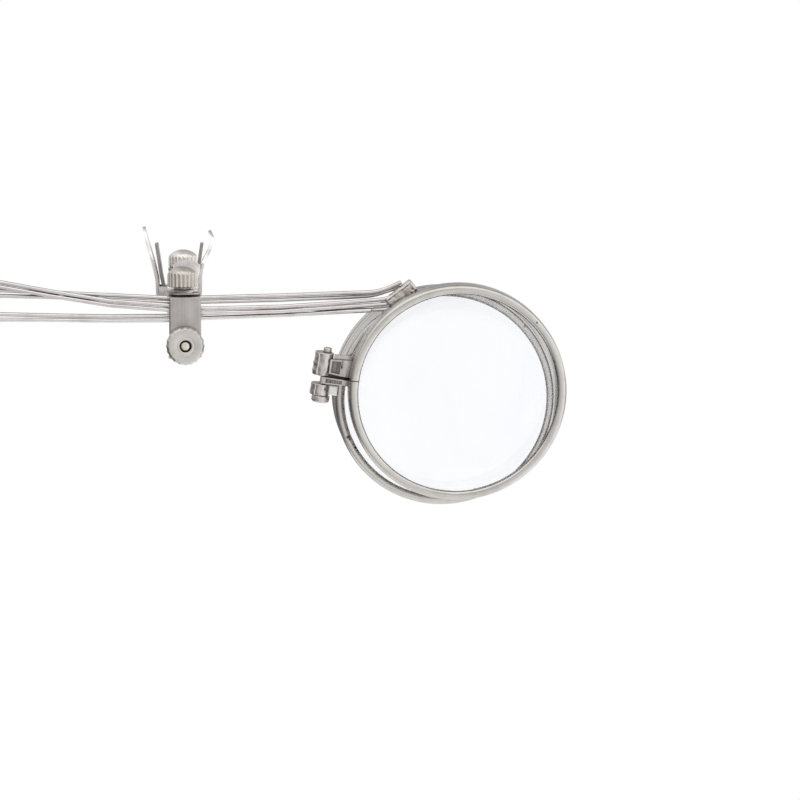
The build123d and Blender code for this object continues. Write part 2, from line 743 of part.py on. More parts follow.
with BuildPart() as clip_jaw_left:
    with BuildSketch(side(0)):
        with BuildLine():
            jaw_line(-1, TAB_LEFT)
        trace(line_width=JAW_T)
    extrude(amount=JAW_W / 2, both=True)
    # ears round the pivot, inside the other jaw's
    for y in (-2.0, 2.44):
        with BuildSketch(side(y)):
            with BuildLine():
                Polyline(
                    (-2.80, 7.22),
                    (-2.70, 5.70),
                    (-1.60, 4.55),
                    (-0.2, 4.95),
                    (0.9, 5.4),
                    (0.9, 7.0),
                    (-0.3, 7.20),
                    (-2.80, 7.22),
                )
            make_face()
        extrude(amount=0.44)
    with BuildSketch(side(3.0)):
        with Locations((0, PIN_Z)):
            Circle(0.53)
    extrude(amount=6.0, mode=Mode.SUBTRACT)
    for m in (1, -1):
        with BuildSketch(Plane(origin=(-2.2, 0, 0), x_dir=(0, 1, 0), z_dir=(1, 0, 0))):
            with BuildLine():
                Polyline(*[(m * a, b) for a, b in TAB], (m * -2.5, 10.9))
            make_face()
        extrude(amount=-4, mode=Mode.SUBTRACT)

with BuildPart() as clip_jaw_right:
    with BuildSketch(side(0)):
        with BuildLine():
            jaw_line(1, TAB_RIGHT)
        trace(line_width=JAW_T)
    extrude(amount=JAW_W / 2 + 0.44, both=True)
    for y in (-2.49, 2.89):
        with BuildSketch(side(y)):
            with BuildLine():
                Polyline(
                    (2.80, 8.40),
                    (2.70, 5.80),
                    (1.60, 4.60),
                    (0.2, 4.95),
                    (-0.9, 5.4),
                    (-0.9, 7.1),
                    (0.3, 7.5),
                    (2.80, 8.40),
                )
            make_face()
        extrude(amount=0.40)
    # tongue that carries the rear pivot
    with BuildSketch(side(-2.49)):
        with BuildLine():
            Polyline(
                (-1.35, 6.6),
                (2.75, 6.6),
                (3.05, TONGUE_Z + TONGUE_T),
                (-1.35, TONGUE_Z + TONGUE_T),
                (-1.35, 6.6),
            )
        make_face()
    extrude(amount=0.40)
    with BuildSketch(Plane.XY.offset(TONGUE_Z)):
        with Locations((PIVOT_X, (REAR_PIVOT_Y - 2.49) / 2)):
            Rectangle(3.9, REAR_PIVOT_Y * -1 - 2.49 + 0.0)
        with Locations((PIVOT_X, REAR_PIVOT_Y)):
            Circle(1.95)
    extrude(amount=TONGUE_T)
    with BuildSketch(Plane.XY.offset(TONGUE_Z)):
        with Locations((PIVOT_X, REAR_PIVOT_Y)):
            Circle(0.75)
    extrude(amount=TONGUE_T, mode=Mode.SUBTRACT)
    with BuildSketch(side(3.5)):
        with Locations((0, PIN_Z)):
            Circle(0.50)
    extrude(amount=7.0, mode=Mode.SUBTRACT)
    for m in (1, -1):
        with BuildSketch(Plane(origin=(2.2, 0, 0), x_dir=(0, 1, 0), z_dir=(1, 0, 0))):
            with BuildLine():
                Polyline(*[(m * a * 1.18, b - 0.55) for a, b in TAB], (m * -2.5 * 1.18, 10.35))
            make_face()
        extrude(amount=4, mode=Mode.SUBTRACT)

with BuildPart() as clip_pin:
    with BuildSketch(side(3.15)):
        with Locations((0, PIN_Z)):
            Circle(0.50)
    extrude(amount=6.3)
    for y in (-2.895, 3.195):
        with BuildSketch(side(y)):
            with Locations((0, PIN_Z)):
                Circle(0.85)
        extrude(amount=0.30)

# leaf spring bent round the pin, its two legs press the tabs apart
SPRING_T = 0.45
with BuildPart() as clip_spring:
    with BuildSketch(side(0)):
        with BuildLine():
            FilletPolyline(
                (-3.05, 12.95),
                (-2.44, 8.80),
                (-1.75, 5.35),
                (0, 4.55),
                (1.75, 5.35),
                (2.44, 8.80),
                (3.05, 12.95),
                radius=[5.0, 1.05, 1.2, 1.05, 5.0],
            )
        trace(line_width=SPRING_T)
    extrude(amount=1.6, both=True)

# ------------------------------------------------------------------- export
PIECES = {
    "rear_lens_rim": rear_lens_rim,
    "rear_lens": rear_lens,
    "rear_lens_retainer": rear_lens_retainer,
    "front_lens_rim": front_lens_rim,
    "front_lens": front_lens,
    "front_lens_retainer": front_lens_retainer,
    "front_hinge_leaf": front_hinge_leaf,
    "rear_hinge_leaf": rear_hinge_leaf,
    "hinge_pin": hinge_pin,
    "arm_wire_upper": arm_wire_upper,
    "arm_wire_middle": arm_wire_middle,
    "arm_wire_lower": arm_wire_lower,
    "wire_ferrule": wire_ferrule,
    "clamp_front_plate": clamp_front_plate,
    "clamp_back_plate": clamp_back_plate,
    "clamp_screw": clamp_screw,
    "clamp_nut": clamp_nut,
    "front_pivot_post": front_pivot_post,
    "front_friction_washer": front_friction_washer,
    "front_pivot_knob": front_pivot_knob,
    "link_strap": link_strap,
    "rear_pivot_post": rear_pivot_post,
    "rear_friction_washer": rear_friction_washer,
    "rear_pivot_knob": rear_pivot_knob,
    "clip_jaw_left": clip_jaw_left,
    "clip_jaw_right": clip_jaw_right,
    "clip_pin": clip_pin,
    "clip_spring": clip_spring,
}
for name, piece in PIECES.items():
    piece.part.label = name
    export_step(piece.part, "parts/" + name + ".step")
    print(name, len(piece.part.solids()), round(piece.part.volume, 3))
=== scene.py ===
import json
import math

import bmesh
import bpy
from mathutils import Matrix, Vector, noise

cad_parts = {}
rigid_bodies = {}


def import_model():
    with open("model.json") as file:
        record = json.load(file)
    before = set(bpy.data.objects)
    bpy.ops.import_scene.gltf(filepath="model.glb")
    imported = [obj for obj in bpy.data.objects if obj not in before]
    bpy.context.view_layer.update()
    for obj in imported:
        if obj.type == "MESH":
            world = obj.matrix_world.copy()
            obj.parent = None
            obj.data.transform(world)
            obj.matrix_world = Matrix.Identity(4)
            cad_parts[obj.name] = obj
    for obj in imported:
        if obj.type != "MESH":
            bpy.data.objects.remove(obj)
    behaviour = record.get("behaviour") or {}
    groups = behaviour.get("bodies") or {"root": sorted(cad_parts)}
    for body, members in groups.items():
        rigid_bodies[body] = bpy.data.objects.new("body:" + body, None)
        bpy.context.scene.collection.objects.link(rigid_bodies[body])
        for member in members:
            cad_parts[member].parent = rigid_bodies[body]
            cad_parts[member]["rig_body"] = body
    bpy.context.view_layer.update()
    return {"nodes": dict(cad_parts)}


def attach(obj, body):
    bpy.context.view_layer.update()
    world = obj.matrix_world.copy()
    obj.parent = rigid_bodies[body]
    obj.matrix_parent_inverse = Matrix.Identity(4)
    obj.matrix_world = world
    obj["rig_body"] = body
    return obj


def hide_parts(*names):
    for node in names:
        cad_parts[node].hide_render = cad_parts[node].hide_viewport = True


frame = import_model()
MM = 0.001
rad = math.radians


# ------------------------------------------------------------------ frames
class Place:
    """an origin in millimetres and three directions"""

    def __init__(self, o, x, y, z):
        self.o, self.x, self.y, self.z = Vector(o), Vector(x), Vector(y), Vector(z)

    def __call__(self, a, b, c):
        return self.o + self.x * a + self.y * b + self.z * c

    def matrix(self):
        m = Matrix.Identity(4)
        for i in range(3):
            m[i][0], m[i][1], m[i][2], m[i][3] = self.x[i], self.y[i], self.z[i], self.o[i] * MM
        return m


CB, SB = math.cos(rad(3.0)), math.sin(rad(3.0))
ARM_X, ARM_Y = 0.85, -14.0
PIVOT_X, REAR_Y = 0.60, -6.0


def arm(u, v, z):
    return Vector((ARM_X + CB * u - SB * v, ARM_Y + SB * u + CB * v, z))


def turn(x, y, z):
    return Vector((CB * x - SB * y, SB * x + CB * y, z))


GP = rad(5.5)
RO = arm(34.25, 1.762, -7.053)
RX = turn(1, 0, 0)
RZ = turn(0, -math.cos(GP), -math.sin(GP))
RY = RZ.cross(RX)


def ring(p, q, h):
    return RO + RX * p + RY * q + RZ * h


FRONT_P, FRONT_Q = 1.46, 1.47
RIM_R, HALF, RIM_GAP = 14.4, 1.5, 0.9
BORE_R, FACE_R, SEAT = 13.78, 13.18, 0.75
REAR_BACK = 5.1
FRONT_H = 2 * HALF + RIM_GAP
LENS_R, LENS_CURVE, LENS_EDGE = 13.72, 72.0, 0.95
SAG = LENS_CURVE - math.sqrt(LENS_CURVE**2 - LENS_R**2)
REAR = Place(ring(0, 0, 0), RX, RY, RZ)
FRONT = Place(ring(FRONT_P, FRONT_Q, FRONT_H), RX, RY, RZ)
HL = rad(8.41)
HINGE_AT = (-16.02, 3.47)
HO = ring(HINGE_AT[0], HINGE_AT[1], HALF + RIM_GAP / 2)
HX = RX * math.cos(HL) - RY * math.sin(HL)
HZ = RX * math.sin(HL) + RY * math.cos(HL)
HINGE = Place(HO, HX, HZ.cross(HX), HZ)
WORLD = Place((0, 0, 0), (1, 0, 0), (0, 1, 0), (0, 0, 1))
# upright, facing the viewer, in the wires' frame: x along the wires, y up, z to the viewer
CLAMP = Place(arm(0, 0, 0), turn(1, 0, 0), (0, 0, 1), turn(0, -1, 0))
NZ = 0.42
SCREW = Place(arm(0, 0, NZ), turn(1, 0, 0), (0, 0, 1), turn(0, -1, 0))
ARM = Place(arm(0, 0, 0), turn(1, 0, 0), turn(0, 1, 0), (0, 0, 1))


# --------------------------------------------------------------- node tools
class Nodes:
    """small helper that places and joins shader nodes"""

    def __init__(self, tree):
        self.tree, self.n = tree, 0

    def add(self, kind, **values):
        node = self.tree.nodes.new(kind)
        node.location = (180 * (self.n % 8), -220 * (self.n // 8))
        self.n += 1
        for key, value in values.items():
            setattr(node, key, value)
        return node

    def link(self, a, b):
        self.tree.links.new(a, b)

    def coords(self, place):
        """object coordinates as seen from a frame"""
        c = self.add("ShaderNodeTexCoord")
        m = self.add("ShaderNodeMapping")
        inverse = place.matrix().inverted()
        m.inputs["Rotation"].default_value = inverse.to_euler("XYZ")
        m.inputs["Location"].default_value = inverse.to_translation()
        self.link(c.outputs["Object"], m.inputs["Vector"])
        return m.outputs["Vector"]

    def stretch(self, vector, scale):
        m = self.add("ShaderNodeMapping")
        m.inputs["Scale"].default_value = scale
        self.link(vector, m.inputs["Vector"])
        return m.outputs["Vector"]

    def noise(self, vector, scale, detail=3.0, rough=0.55, distort=0.0):
        t = self.add("ShaderNodeTexNoise")
        t.inputs["Scale"].default_value = scale
        t.inputs["Detail"].default_value = detail
        t.inputs["Roughness"].default_value = rough
        t.inputs["Distortion"].default_value = distort
        self.link(vector, t.inputs["Vector"])
        return t.outputs["Fac"]

    def span(self, value, a, b, c, d):
        m = self.add("ShaderNodeMapRange")
        m.clamp = True
        for i, x in enumerate((a, b, c, d)):
            m.inputs[i + 1].default_value = x
        self.link(value, m.inputs[0])
        return m.outputs[0]

    def math(self, op, a, b=None):
        m = self.add("ShaderNodeMath", operation=op)
        for i, x in enumerate((a, b)):
            if x is None:
                continue
            if isinstance(x, (int, float)):
                m.inputs[i].default_value = x
            else:
                self.link(x, m.inputs[i])
        return m.outputs[0]

    def mix(self, fac, a, b):
        m = self.add("ShaderNodeMix", data_type="RGBA", blend_type="MIX")
        for socket, x in ((m.inputs["Factor"], fac), (m.inputs["A"], a), (m.inputs["B"], b)):
            pass
        self._put(m.inputs[0], fac)
        self._put(m.inputs[6], a)
        self._put(m.inputs[7], b)
        return m.outputs[2]

    def _put(self, socket, x):
        if isinstance(x, (tuple, list)):
            socket.default_value = tuple(x) + (1.0,) * (4 - len(x))
        elif isinstance(x, (int, float)):
            socket.default_value = x
        else:
            self.link(x, socket)

    def bump(self, height, strength, distance, normal=None):
        b = self.add("ShaderNodeBump")
        b.inputs["Strength"].default_value = strength
        b.inputs["Distance"].default_value = distance
        self.link(height, b.inputs["Height"])
        if normal is not None:
            self.link(normal, b.inputs["Normal"])
        return b.outputs["Normal"]


def metal(
    name,
    colour,
    rough,
    grain=(1, 1, 1),
    grain_scale=3000.0,
    grain_depth=0.25,
    spread=0.05,
    shade=(0.42, 0.37, 0.34),
    shade_amount=0.25,
    specks=0.0,
    crevice=0.55,
    crevice_size=0.00035,
    rings=None,
    pits=0.0,
    place=None,
    turned=False,
    split=None,
    lines=(),
    chips=(),
    painted_shadow=None,
):
    """plated or bare metal: grain along a direction, tarnish in patches, painted shade in crevices"""
    mat = bpy.data.materials.new(name)
    mat.use_nodes = True
    tree = mat.node_tree
    tree.nodes.clear()
    k = Nodes(tree)
    out = k.add("ShaderNodeOutputMaterial")
    p = k.add("ShaderNodeBsdfPrincipled")
    k.link(p.outputs[0], out.inputs[0])
    p.inputs["Metallic"].default_value = 1.0
    plain = k.coords(place or WORLD)
    if turned:
        # the tool's marks run round the axis: only the radius and the height matter
        xyz = k.add("ShaderNodeSeparateXYZ")
        k.link(plain, xyz.inputs[0])
        radius = k.math("SQRT", k.math("ADD", k.math("MULTIPLY", xyz.outputs[0], xyz.outputs[0]), k.math("MULTIPLY", xyz.outputs[1], xyz.outputs[1])))
        join = k.add("ShaderNodeCombineXYZ")
        k.link(radius, join.inputs[0])
        k.link(k.math("MULTIPLY", xyz.outputs[0], 0.02), join.inputs[1])
        k.link(xyz.outputs[2], join.inputs[2])
        fine = join.outputs[0]
    else:
        fine = k.stretch(plain, grain)
    streak = k.noise(fine, grain_scale, 4.0, 0.6)
    cloud = k.noise(plain, 420.0, 4.0, 0.6)
    cloud2 = k.noise(plain, 1500.0, 3.0, 0.55, 0.6)
    # colour: streaks and faint patches of tarnish
    c = k.mix(k.span(streak, 0.30, 0.72, 0.0, 1.0), [x * (1 - spread) for x in colour], [min(1, x * (1 + spread)) for x in colour])
    c = k.mix(k.math("MULTIPLY", k.span(cloud, 0.46, 0.72, 0.0, 1.0), shade_amount), c, [a * b for a, b in zip(colour, shade)])
    # painted shade: the colour is darkened, in patches, in corners and crevices where shade falls
    ao = k.add("ShaderNodeAmbientOcclusion", samples=8)
    ao.inputs["Distance"].default_value = crevice_size
    crevice_shade = k.math("MULTIPLY", k.span(ao.outputs["AO"], 0.25, 0.85, 1.0, 0.0), k.span(cloud2, 0.25, 0.6, 0.65, 1.0))
    c = k.mix(k.math("MULTIPLY", crevice_shade, crevice), c, [colour[0] * 0.20, colour[1] * 0.165, colour[2] * 0.15])
    if specks:
        v = k.add("ShaderNodeTexVoronoi", feature="F1")
        v.inputs["Scale"].default_value = 900.0
        k.link(plain, v.inputs["Vector"])
        spot = k.math("MULTIPLY", k.span(v.outputs["Distance"], 0.10, 0.17, 1.0, 0.0), k.span(k.noise(plain, 700.0, 2.0), 0.60, 0.64, 0.0, 1.0))
        c = k.mix(k.math("MULTIPLY", spot, specks), c, (0.05, 0.035, 0.03))
    if split:
        # hairline where the rim is cut through beside the hinge: x limit, y of the line and its half width
        at = k.add("ShaderNodeSeparateXYZ")
        k.link(plain, at.inputs[0])
        far = k.span(at.outputs[0], split[0] * MM, (split[0] + 0.12) * MM, 1.0, 0.0)
        off = k.math("ABSOLUTE", k.math("SUBTRACT", k.math("ADD", at.outputs[1], k.math("MULTIPLY", at.outputs[0], split[3])), split[1] * MM))
        c = k.mix(k.math("MULTIPLY", far, k.span(off, split[2] * 0.6 * MM, split[2] * 1.3 * MM, 0.95, 0.0)), c, (0.05, 0.035, 0.03))
    if lines:
        # painted light: the bore is painted brighter than the outside
        bore_painted_light = k.math("MULTIPLY", k.span(radius, 13.95 * MM, 14.05 * MM, 0.62, 0.0), k.span(xyz.outputs[2], 0.70 * MM, 0.90 * MM, 1.0, 0.0))
        c = k.mix(bore_painted_light, c, [min(0.85, v * 1.42) for v in colour])
        # dark lines painted round the outer wall: height, half width and strength of each
        wall = k.span(radius, 14.10 * MM, 14.18 * MM, 0.0, 1.0)
        for height, half, strength in lines:
            off = k.math("ABSOLUTE", k.math("SUBTRACT", xyz.outputs[2], height * MM))
            c = k.mix(k.math("MULTIPLY", wall, k.span(off, half * 0.5 * MM, half * 1.2 * MM, strength, 0.0)), c, [colour[0] * 0.22, colour[1] * 0.19, colour[2] * 0.17])
    if painted_shadow:
        # painted shadow, dark brown, round a point: centre, half sizes and strength
        at = k.add("ShaderNodeSeparateXYZ")
        k.link(plain, at.inputs[0])
        total = None
        for i in range(3):
            d = k.math("DIVIDE", k.math("SUBTRACT", at.outputs[i], painted_shadow[0][i] * MM), painted_shadow[1][i] * MM)
            d = k.math("MULTIPLY", d, d)
            total = d if total is None else k.math("ADD", total, d)
        edge = k.math("ADD", k.math("SQRT", total), k.span(cloud2, 0.30, 0.70, -0.18, 0.28))
        c = k.mix(k.span(edge, 0.70, 1.05, painted_shadow[2], 0.0), c, (0.13, 0.098, 0.085))
    for px_, py_, size_ in chips:
        # a small chip in the plating, with a ragged outline
        at = k.add("ShaderNodeSeparateXYZ")
        k.link(plain, at.inputs[0])
        dx = k.math("SUBTRACT", at.outputs[0], px_ * MM)
        dy = k.math("SUBTRACT", at.outputs[1], py_ * MM)
        away = k.math("SQRT", k.math("ADD", k.math("MULTIPLY", dx, dx), k.math("MULTIPLY", dy, dy)))
        away = k.math("MULTIPLY", away, k.span(cloud2, 0.30, 0.70, 0.65, 1.55))
        c = k.mix(k.span(away, size_ * 0.7 * MM, size_ * 1.1 * MM, 0.88, 0.0), c, (0.055, 0.042, 0.036))
    k.link(c, p.inputs["Base Color"])
    # roughness: follows the grain, varies in patches and is higher where the crevice shade is painted
    r = k.math("ADD", k.span(streak, 0.25, 0.75, rough * 0.78, rough * 1.22), k.span(cloud2, 0.3, 0.75, -0.03, 0.07))
    r = k.math("ADD", r, k.math("MULTIPLY", crevice_shade, 0.25))
    k.link(r, p.inputs["Roughness"])
    # relief
    n = k.bump(streak, grain_depth, 0.00002)
    if rings:
        w = k.add("ShaderNodeTexWave", wave_type="RINGS", rings_direction="Z")
        w.inputs["Scale"].default_value = rings
        w.inputs["Distortion"].default_value = 1.2
        w.inputs["Detail"].default_value = 3.0
        w.inputs["Detail Scale"].default_value = 900.0
        k.link(plain, w.inputs["Vector"])
        n = k.bump(w.outputs["Fac"], 0.22, 0.00002, n)
    if pits:
        n = k.bump(k.noise(plain, 2600.0, 4.0, 0.65, 0.4), pits, 0.00006, n)
    k.link(n, p.inputs["Normal"])
    return mat


NICKEL = (0.595, 0.572, 0.544)


def within(place, p):
    """where a point of the row's frame lies in a place's own plane"""
    d = Vector(p) - place.o
    return d.dot(place.x), d.dot(place.y)


# chips low on the left of the rear rim
CHIPS = [within(REAR, p) + (r,) for p, r in (
    ((22.28, -12.12, -12.10), 0.24), ((22.55, -12.05, -12.50), 0.17), ((23.02, -11.95, -13.20), 0.15), ((23.28, -11.88, -13.60), 0.19), ((23.55, -11.80, -14.02), 0.12),
)]
RIM_LOOK = dict(turned=True, grain_scale=4200, grain_depth=0.15, spread=0.07, specks=0.8, crevice=0.85, crevice_size=0.0006)
M_RIM_REAR = metal("rim_nickel_rear", NICKEL, 0.24, place=REAR, lines=((-3.1, 0.32, 0.85), (-1.35, 0.24, 0.62), (-4.62, 0.15, 0.55)), chips=CHIPS, **RIM_LOOK)
M_RIM_FRONT = metal("rim_nickel_front", NICKEL, 0.24, place=FRONT, split=(-12.45, 0.85, 0.07, 0.07), lines=((0.51, 0.17, 0.90), (-0.62, 0.10, 0.65)), **RIM_LOOK)
M_WIRE = metal("wire_nickel", (0.71, 0.682, 0.672), 0.20, grain=(0.035, 1, 1), grain_scale=5200, grain_depth=0.16, spread=0.07, crevice=0.85, crevice_size=0.0004, place=ARM)
M_PLATE = metal("plate_brushed", (0.50, 0.465, 0.450), 0.34, grain=(1, 0.03, 1), grain_scale=4200, grain_depth=0.35, spread=0.12, crevice=0.8, place=CLAMP)
# the sheet carries the front knob's painted shadow, round the knob's neck above the strap
M_SHEET = metal("sheet_nickel", (0.78, 0.754, 0.737), 0.27, grain=(1, 1, 0.06), grain_scale=3600, grain_depth=0.10, spread=0.05, painted_shadow=((0.70, -15.35, 7.55), (1.55, 1.60, 0.60), 0.85), crevice=0.25, shade_amount=0.15)
M_HINGE = metal("hinge_brushed", (0.585, 0.553, 0.533), 0.28, grain=(1, 1, 0.05), grain_scale=4200, grain_depth=0.40, spread=0.14, crevice=0.9, shade_amount=0.45, place=HINGE)
M_KNOB = metal("knob_nickel", (0.63, 0.592, 0.55), 0.33, grain=(1, 1, 0.2), grain_scale=4000, grain_depth=0.30, crevice=1.0, crevice_size=0.0003, pits=0.45)
# the rear knob's nickel is painted lighter than the front knob's: painted light
M_KNOB_REAR_PAINTED_LIGHT = metal("knob_nickel_rear_painted_light", (0.83, 0.795, 0.745), 0.33, grain=(1, 1, 0.2), grain_scale=4000, grain_depth=0.30, crevice=1.0, crevice_size=0.0003, pits=0.45)
M_NUT = metal("nut_turned", (0.62, 0.595, 0.565), 0.34, grain=(1, 1, 1), grain_scale=3000, grain_depth=0.15, rings=1500, crevice=0.95, place=SCREW)
M_SPRING = metal("spring_steel", (0.36, 0.34, 0.33), 0.26, grain=(1, 1, 0.05), grain_scale=3000, grain_depth=0.25, spread=0.10, crevice=0.6)
M_SOLDER = metal("solder_rough", (0.68, 0.645, 0.60), 0.38, grain_scale=2600, grain_depth=0.5, spread=0.20, crevice=0.9, pits=0.8, shade_amount=0.62, specks=0.9)
M_HINGE_DARK = metal("hinge_brushed_dark", (0.24, 0.215, 0.20), 0.30, grain=(1, 1, 0.04), grain_scale=5200, grain_depth=0.9, spread=0.6, crevice=0.9, shade_amount=0.5, place=HINGE)
# painted shade: a near black colour for the hinge's gaps
M_GAP_SHADE = metal("hinge_gap_painted_shade", (0.10, 0.085, 0.078), 0.5, grain=(1, 1, 0.3), grain_scale=3000, grain_depth=0.4, spread=0.3, crevice=0.9, place=HINGE)
M_BRASS = metal("brass_turned", (0.76, 0.69, 0.60), 0.30, grain_scale=3000, grain_depth=0.2, rings=2500, crevice=0.8, place=SCREW)


def glass():
    mat = bpy.data.materials.new("lens_glass")
    mat.use_nodes = True
    tree = mat.node_tree
    tree.nodes.clear()
    k = Nodes(tree)
    out = k.add("ShaderNodeOutputMaterial")
    p = k.add("ShaderNodeBsdfPrincipled")
    k.link(p.outputs[0], out.inputs[0])
    p.inputs["Transmission Weight"].default_value = 1.0
    p.inputs["IOR"].default_value = 1.50
    # the glass is faintly blue and has a trace of smears and dust
    smear = k.noise(k.stretch(k.coords(REAR), (1, 0.4, 1)), 160.0, 5.0, 0.62, 1.2)
    k.link(k.mix(k.span(smear, 0.45, 0.8, 0.0, 1.0), (0.985, 0.99, 1.0), (0.955, 0.965, 0.985)), p.inputs["Base Color"])
    k.link(k.span(smear, 0.50, 0.85, 0.0, 0.035), p.inputs["Roughness"])
    return mat


M_GLASS = glass()


# --------------------------------------------------------------- mesh tools
def finish_mesh(me, sharp):
    bm = bmesh.new()
    bm.from_mesh(me)
    bmesh.ops.recalc_face_normals(bm, faces=bm.faces)
    bm.to_mesh(me)
    bm.free()
    for f in me.polygons:
        f.use_smooth = True
    me.set_sharp_from_angle(angle=rad(sharp))


def put(name, me, place, mat, body, slot, nodes=(), sharp=38):
    me.transform(place.matrix())
    finish_mesh(me, sharp)
    me.materials.clear()
    me.materials.append(mat)
    ob = bpy.data.objects.new(name, me)
    bpy.context.scene.collection.objects.link(ob)
    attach(ob, body)
    if nodes:
        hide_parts(*nodes)
    return ob


def mesh_of(name, verts, faces):
    """verts in millimetres, in the piece's own frame"""
    me = bpy.data.meshes.new(name)
    me.from_pydata([tuple(Vector(v) * MM) for v in verts], [], faces)
    me.validate()
    return me


def lathe(name, profile, segs, loop=False, change=None):
    """turns (radius, height) points round z; change(theta, i, r, h) gives a new (r, h)"""
    verts, rows, faces = [], [], []
    for i, (r, h) in enumerate(profile):
        if r < 1e-6:
            rows.append([len(verts)])
            verts.append((0, 0, h))
            continue
        row = []
        for j in range(segs):
            t = 2 * math.pi * j / segs
            a, b = (r, h) if change is None else change(t, i, r, h)
            row.append(len(verts))
            verts.append((a * math.cos(t), a * math.sin(t), b))
        rows.append(row)
    pairs = list(zip(rows, rows[1:])) + ([(rows[-1], rows[0])] if loop else [])
    for a, b in pairs:
        for j in range(segs):
            m = (j + 1) % segs
            if len(a) == 1 and len(b) == 1:
                continue
            if len(a) == 1:
                faces.append((a[0], b[m], b[j]))
            elif len(b) == 1:
                faces.append((a[j], a[m], b[0]))
            else:
                faces.append((a[j], a[m], b[m], b[j]))
    return mesh_of(name, verts, faces)


def path_of(points):
    """polyline with round bends, dense where it bends"""
    pts = [Vector(p) for p in points]
    out = [pts[0]]
    for a, b, c in zip(pts, pts[1:], pts[2:]):
        d1, d2 = (b - a), (c - b)
        half = max(d1.angle(d2), rad(0.05)) / 2
        room = 0.42 * min(d1.length, d2.length)
        r = min(8.0, room / math.tan(half))
        cut = r * math.tan(half)
        p, q = b - d1.normalized() * cut, b + d2.normalized() * cut
        steps = max(2, int(math.degrees(2 * half) / 5) + 1)
        # the bend as an arc in its own plane
        axis = d1.cross(d2)
        if axis.length < 1e-9 or half < rad(0.3):
            out += [p, q]
            continue
        axis.normalize()
        to_centre = axis.cross(d1.normalized())
        centre = p + to_centre * r
        for s in range(steps + 1):
            m = Matrix.Rotation(2 * half * s / steps, 3, axis)
            out.append(centre + m @ (p - centre))
    out.append(pts[-1])
    kept = [out[0]]
    for p in out[1:]:
        if (p - kept[-1]).length > 1e-4:
            kept.append(p)
    # long straights get points too, so that the grain and the ends behave
    dense = [kept[0]]
    for p in kept[1:]:
        gap = (p - dense[-1]).length
        n = max(1, int(gap / 1.6))
        start = dense[-1].copy()
        for s in range(1, n + 1):
            dense.append(start.lerp(p, s / n))
    return dense


def tube(name, path, radius, sides=18, end=0.07):
    """round wire along a path, with slightly rounded ends"""
    verts, faces = [], []
    tangents = []
    for i in range(len(path)):
        a = path[max(0, i - 1)]
        b = path[min(len(path) - 1, i + 1)]
        tangents.append((b - a).normalized())
    side = tangents[0].orthogonal().normalized()
    sections = []
    for i, p in enumerate(path):
        t = tangents[i]
        side = (side - t * side.dot(t)).normalized()
        sections.append((p, side.copy(), t.cross(side)))
    t0, t1 = tangents[0], tangents[-1]
    rows = []
    first, last = sections[0], sections[-1]
    plan = [(first, t0, 0.0, 0.80), (first, t0, end * 0.35, 0.94), (first, t0, end, 1.0)]
    plan += [(s, None, 0.0, 1.0) for s in sections[1:-1]]
    plan += [(last, t1, -end, 1.0), (last, t1, -end * 0.35, 0.94), (last, t1, 0.0, 0.80)]
    for (p, a, b), t, shift, k in plan:
        c = p + (t * shift if t is not None else Vector((0, 0, 0)))
        row = []
        for j in range(sides):
            w = 2 * math.pi * j / sides
            row.append(len(verts))
            verts.append(c + (a * math.cos(w) + b * math.sin(w)) * radius * k)
        rows.append(row)
    for a, b in zip(rows, rows[1:]):
        for j in range(sides):
            m = (j + 1) % sides
            faces.append((a[j], a[m], b[m], b[j]))
    for row, p in ((rows[0], plan[0][0][0]), (rows[-1], plan[-1][0][0])):
        c = len(verts)
        verts.append(p)
        for j in range(sides):
            faces.append((row[j], row[(j + 1) % sides], c))
    return mesh_of(name, verts, faces)


def arc2(cx, cy, r, a0, a1, n):
    return [
        (cx + r * math.cos(rad(a0 + (a1 - a0) * i / n)), cy + r * math.sin(rad(a0 + (a1 - a0) * i / n)))
        for i in range(n + 1)
    ]


def inset(loop, d):
    """moves a closed outline inwards by d (anticlockwise loops)"""
    out, n = [], len(loop)
    for i in range(n):
        a, b, c = Vector(loop[i - 1]), Vector(loop[i]), Vector(loop[(i + 1) % n])
        e1, e2 = (b - a).normalized(), (c - b).normalized()
        n1, n2 = Vector((-e1.y, e1.x)), Vector((-e2.y, e2.x))
        m = (n1 + n2)
        m = m / max(m.length_squared / 2, 0.35)
        out.append(tuple(b + m * d))
    return out


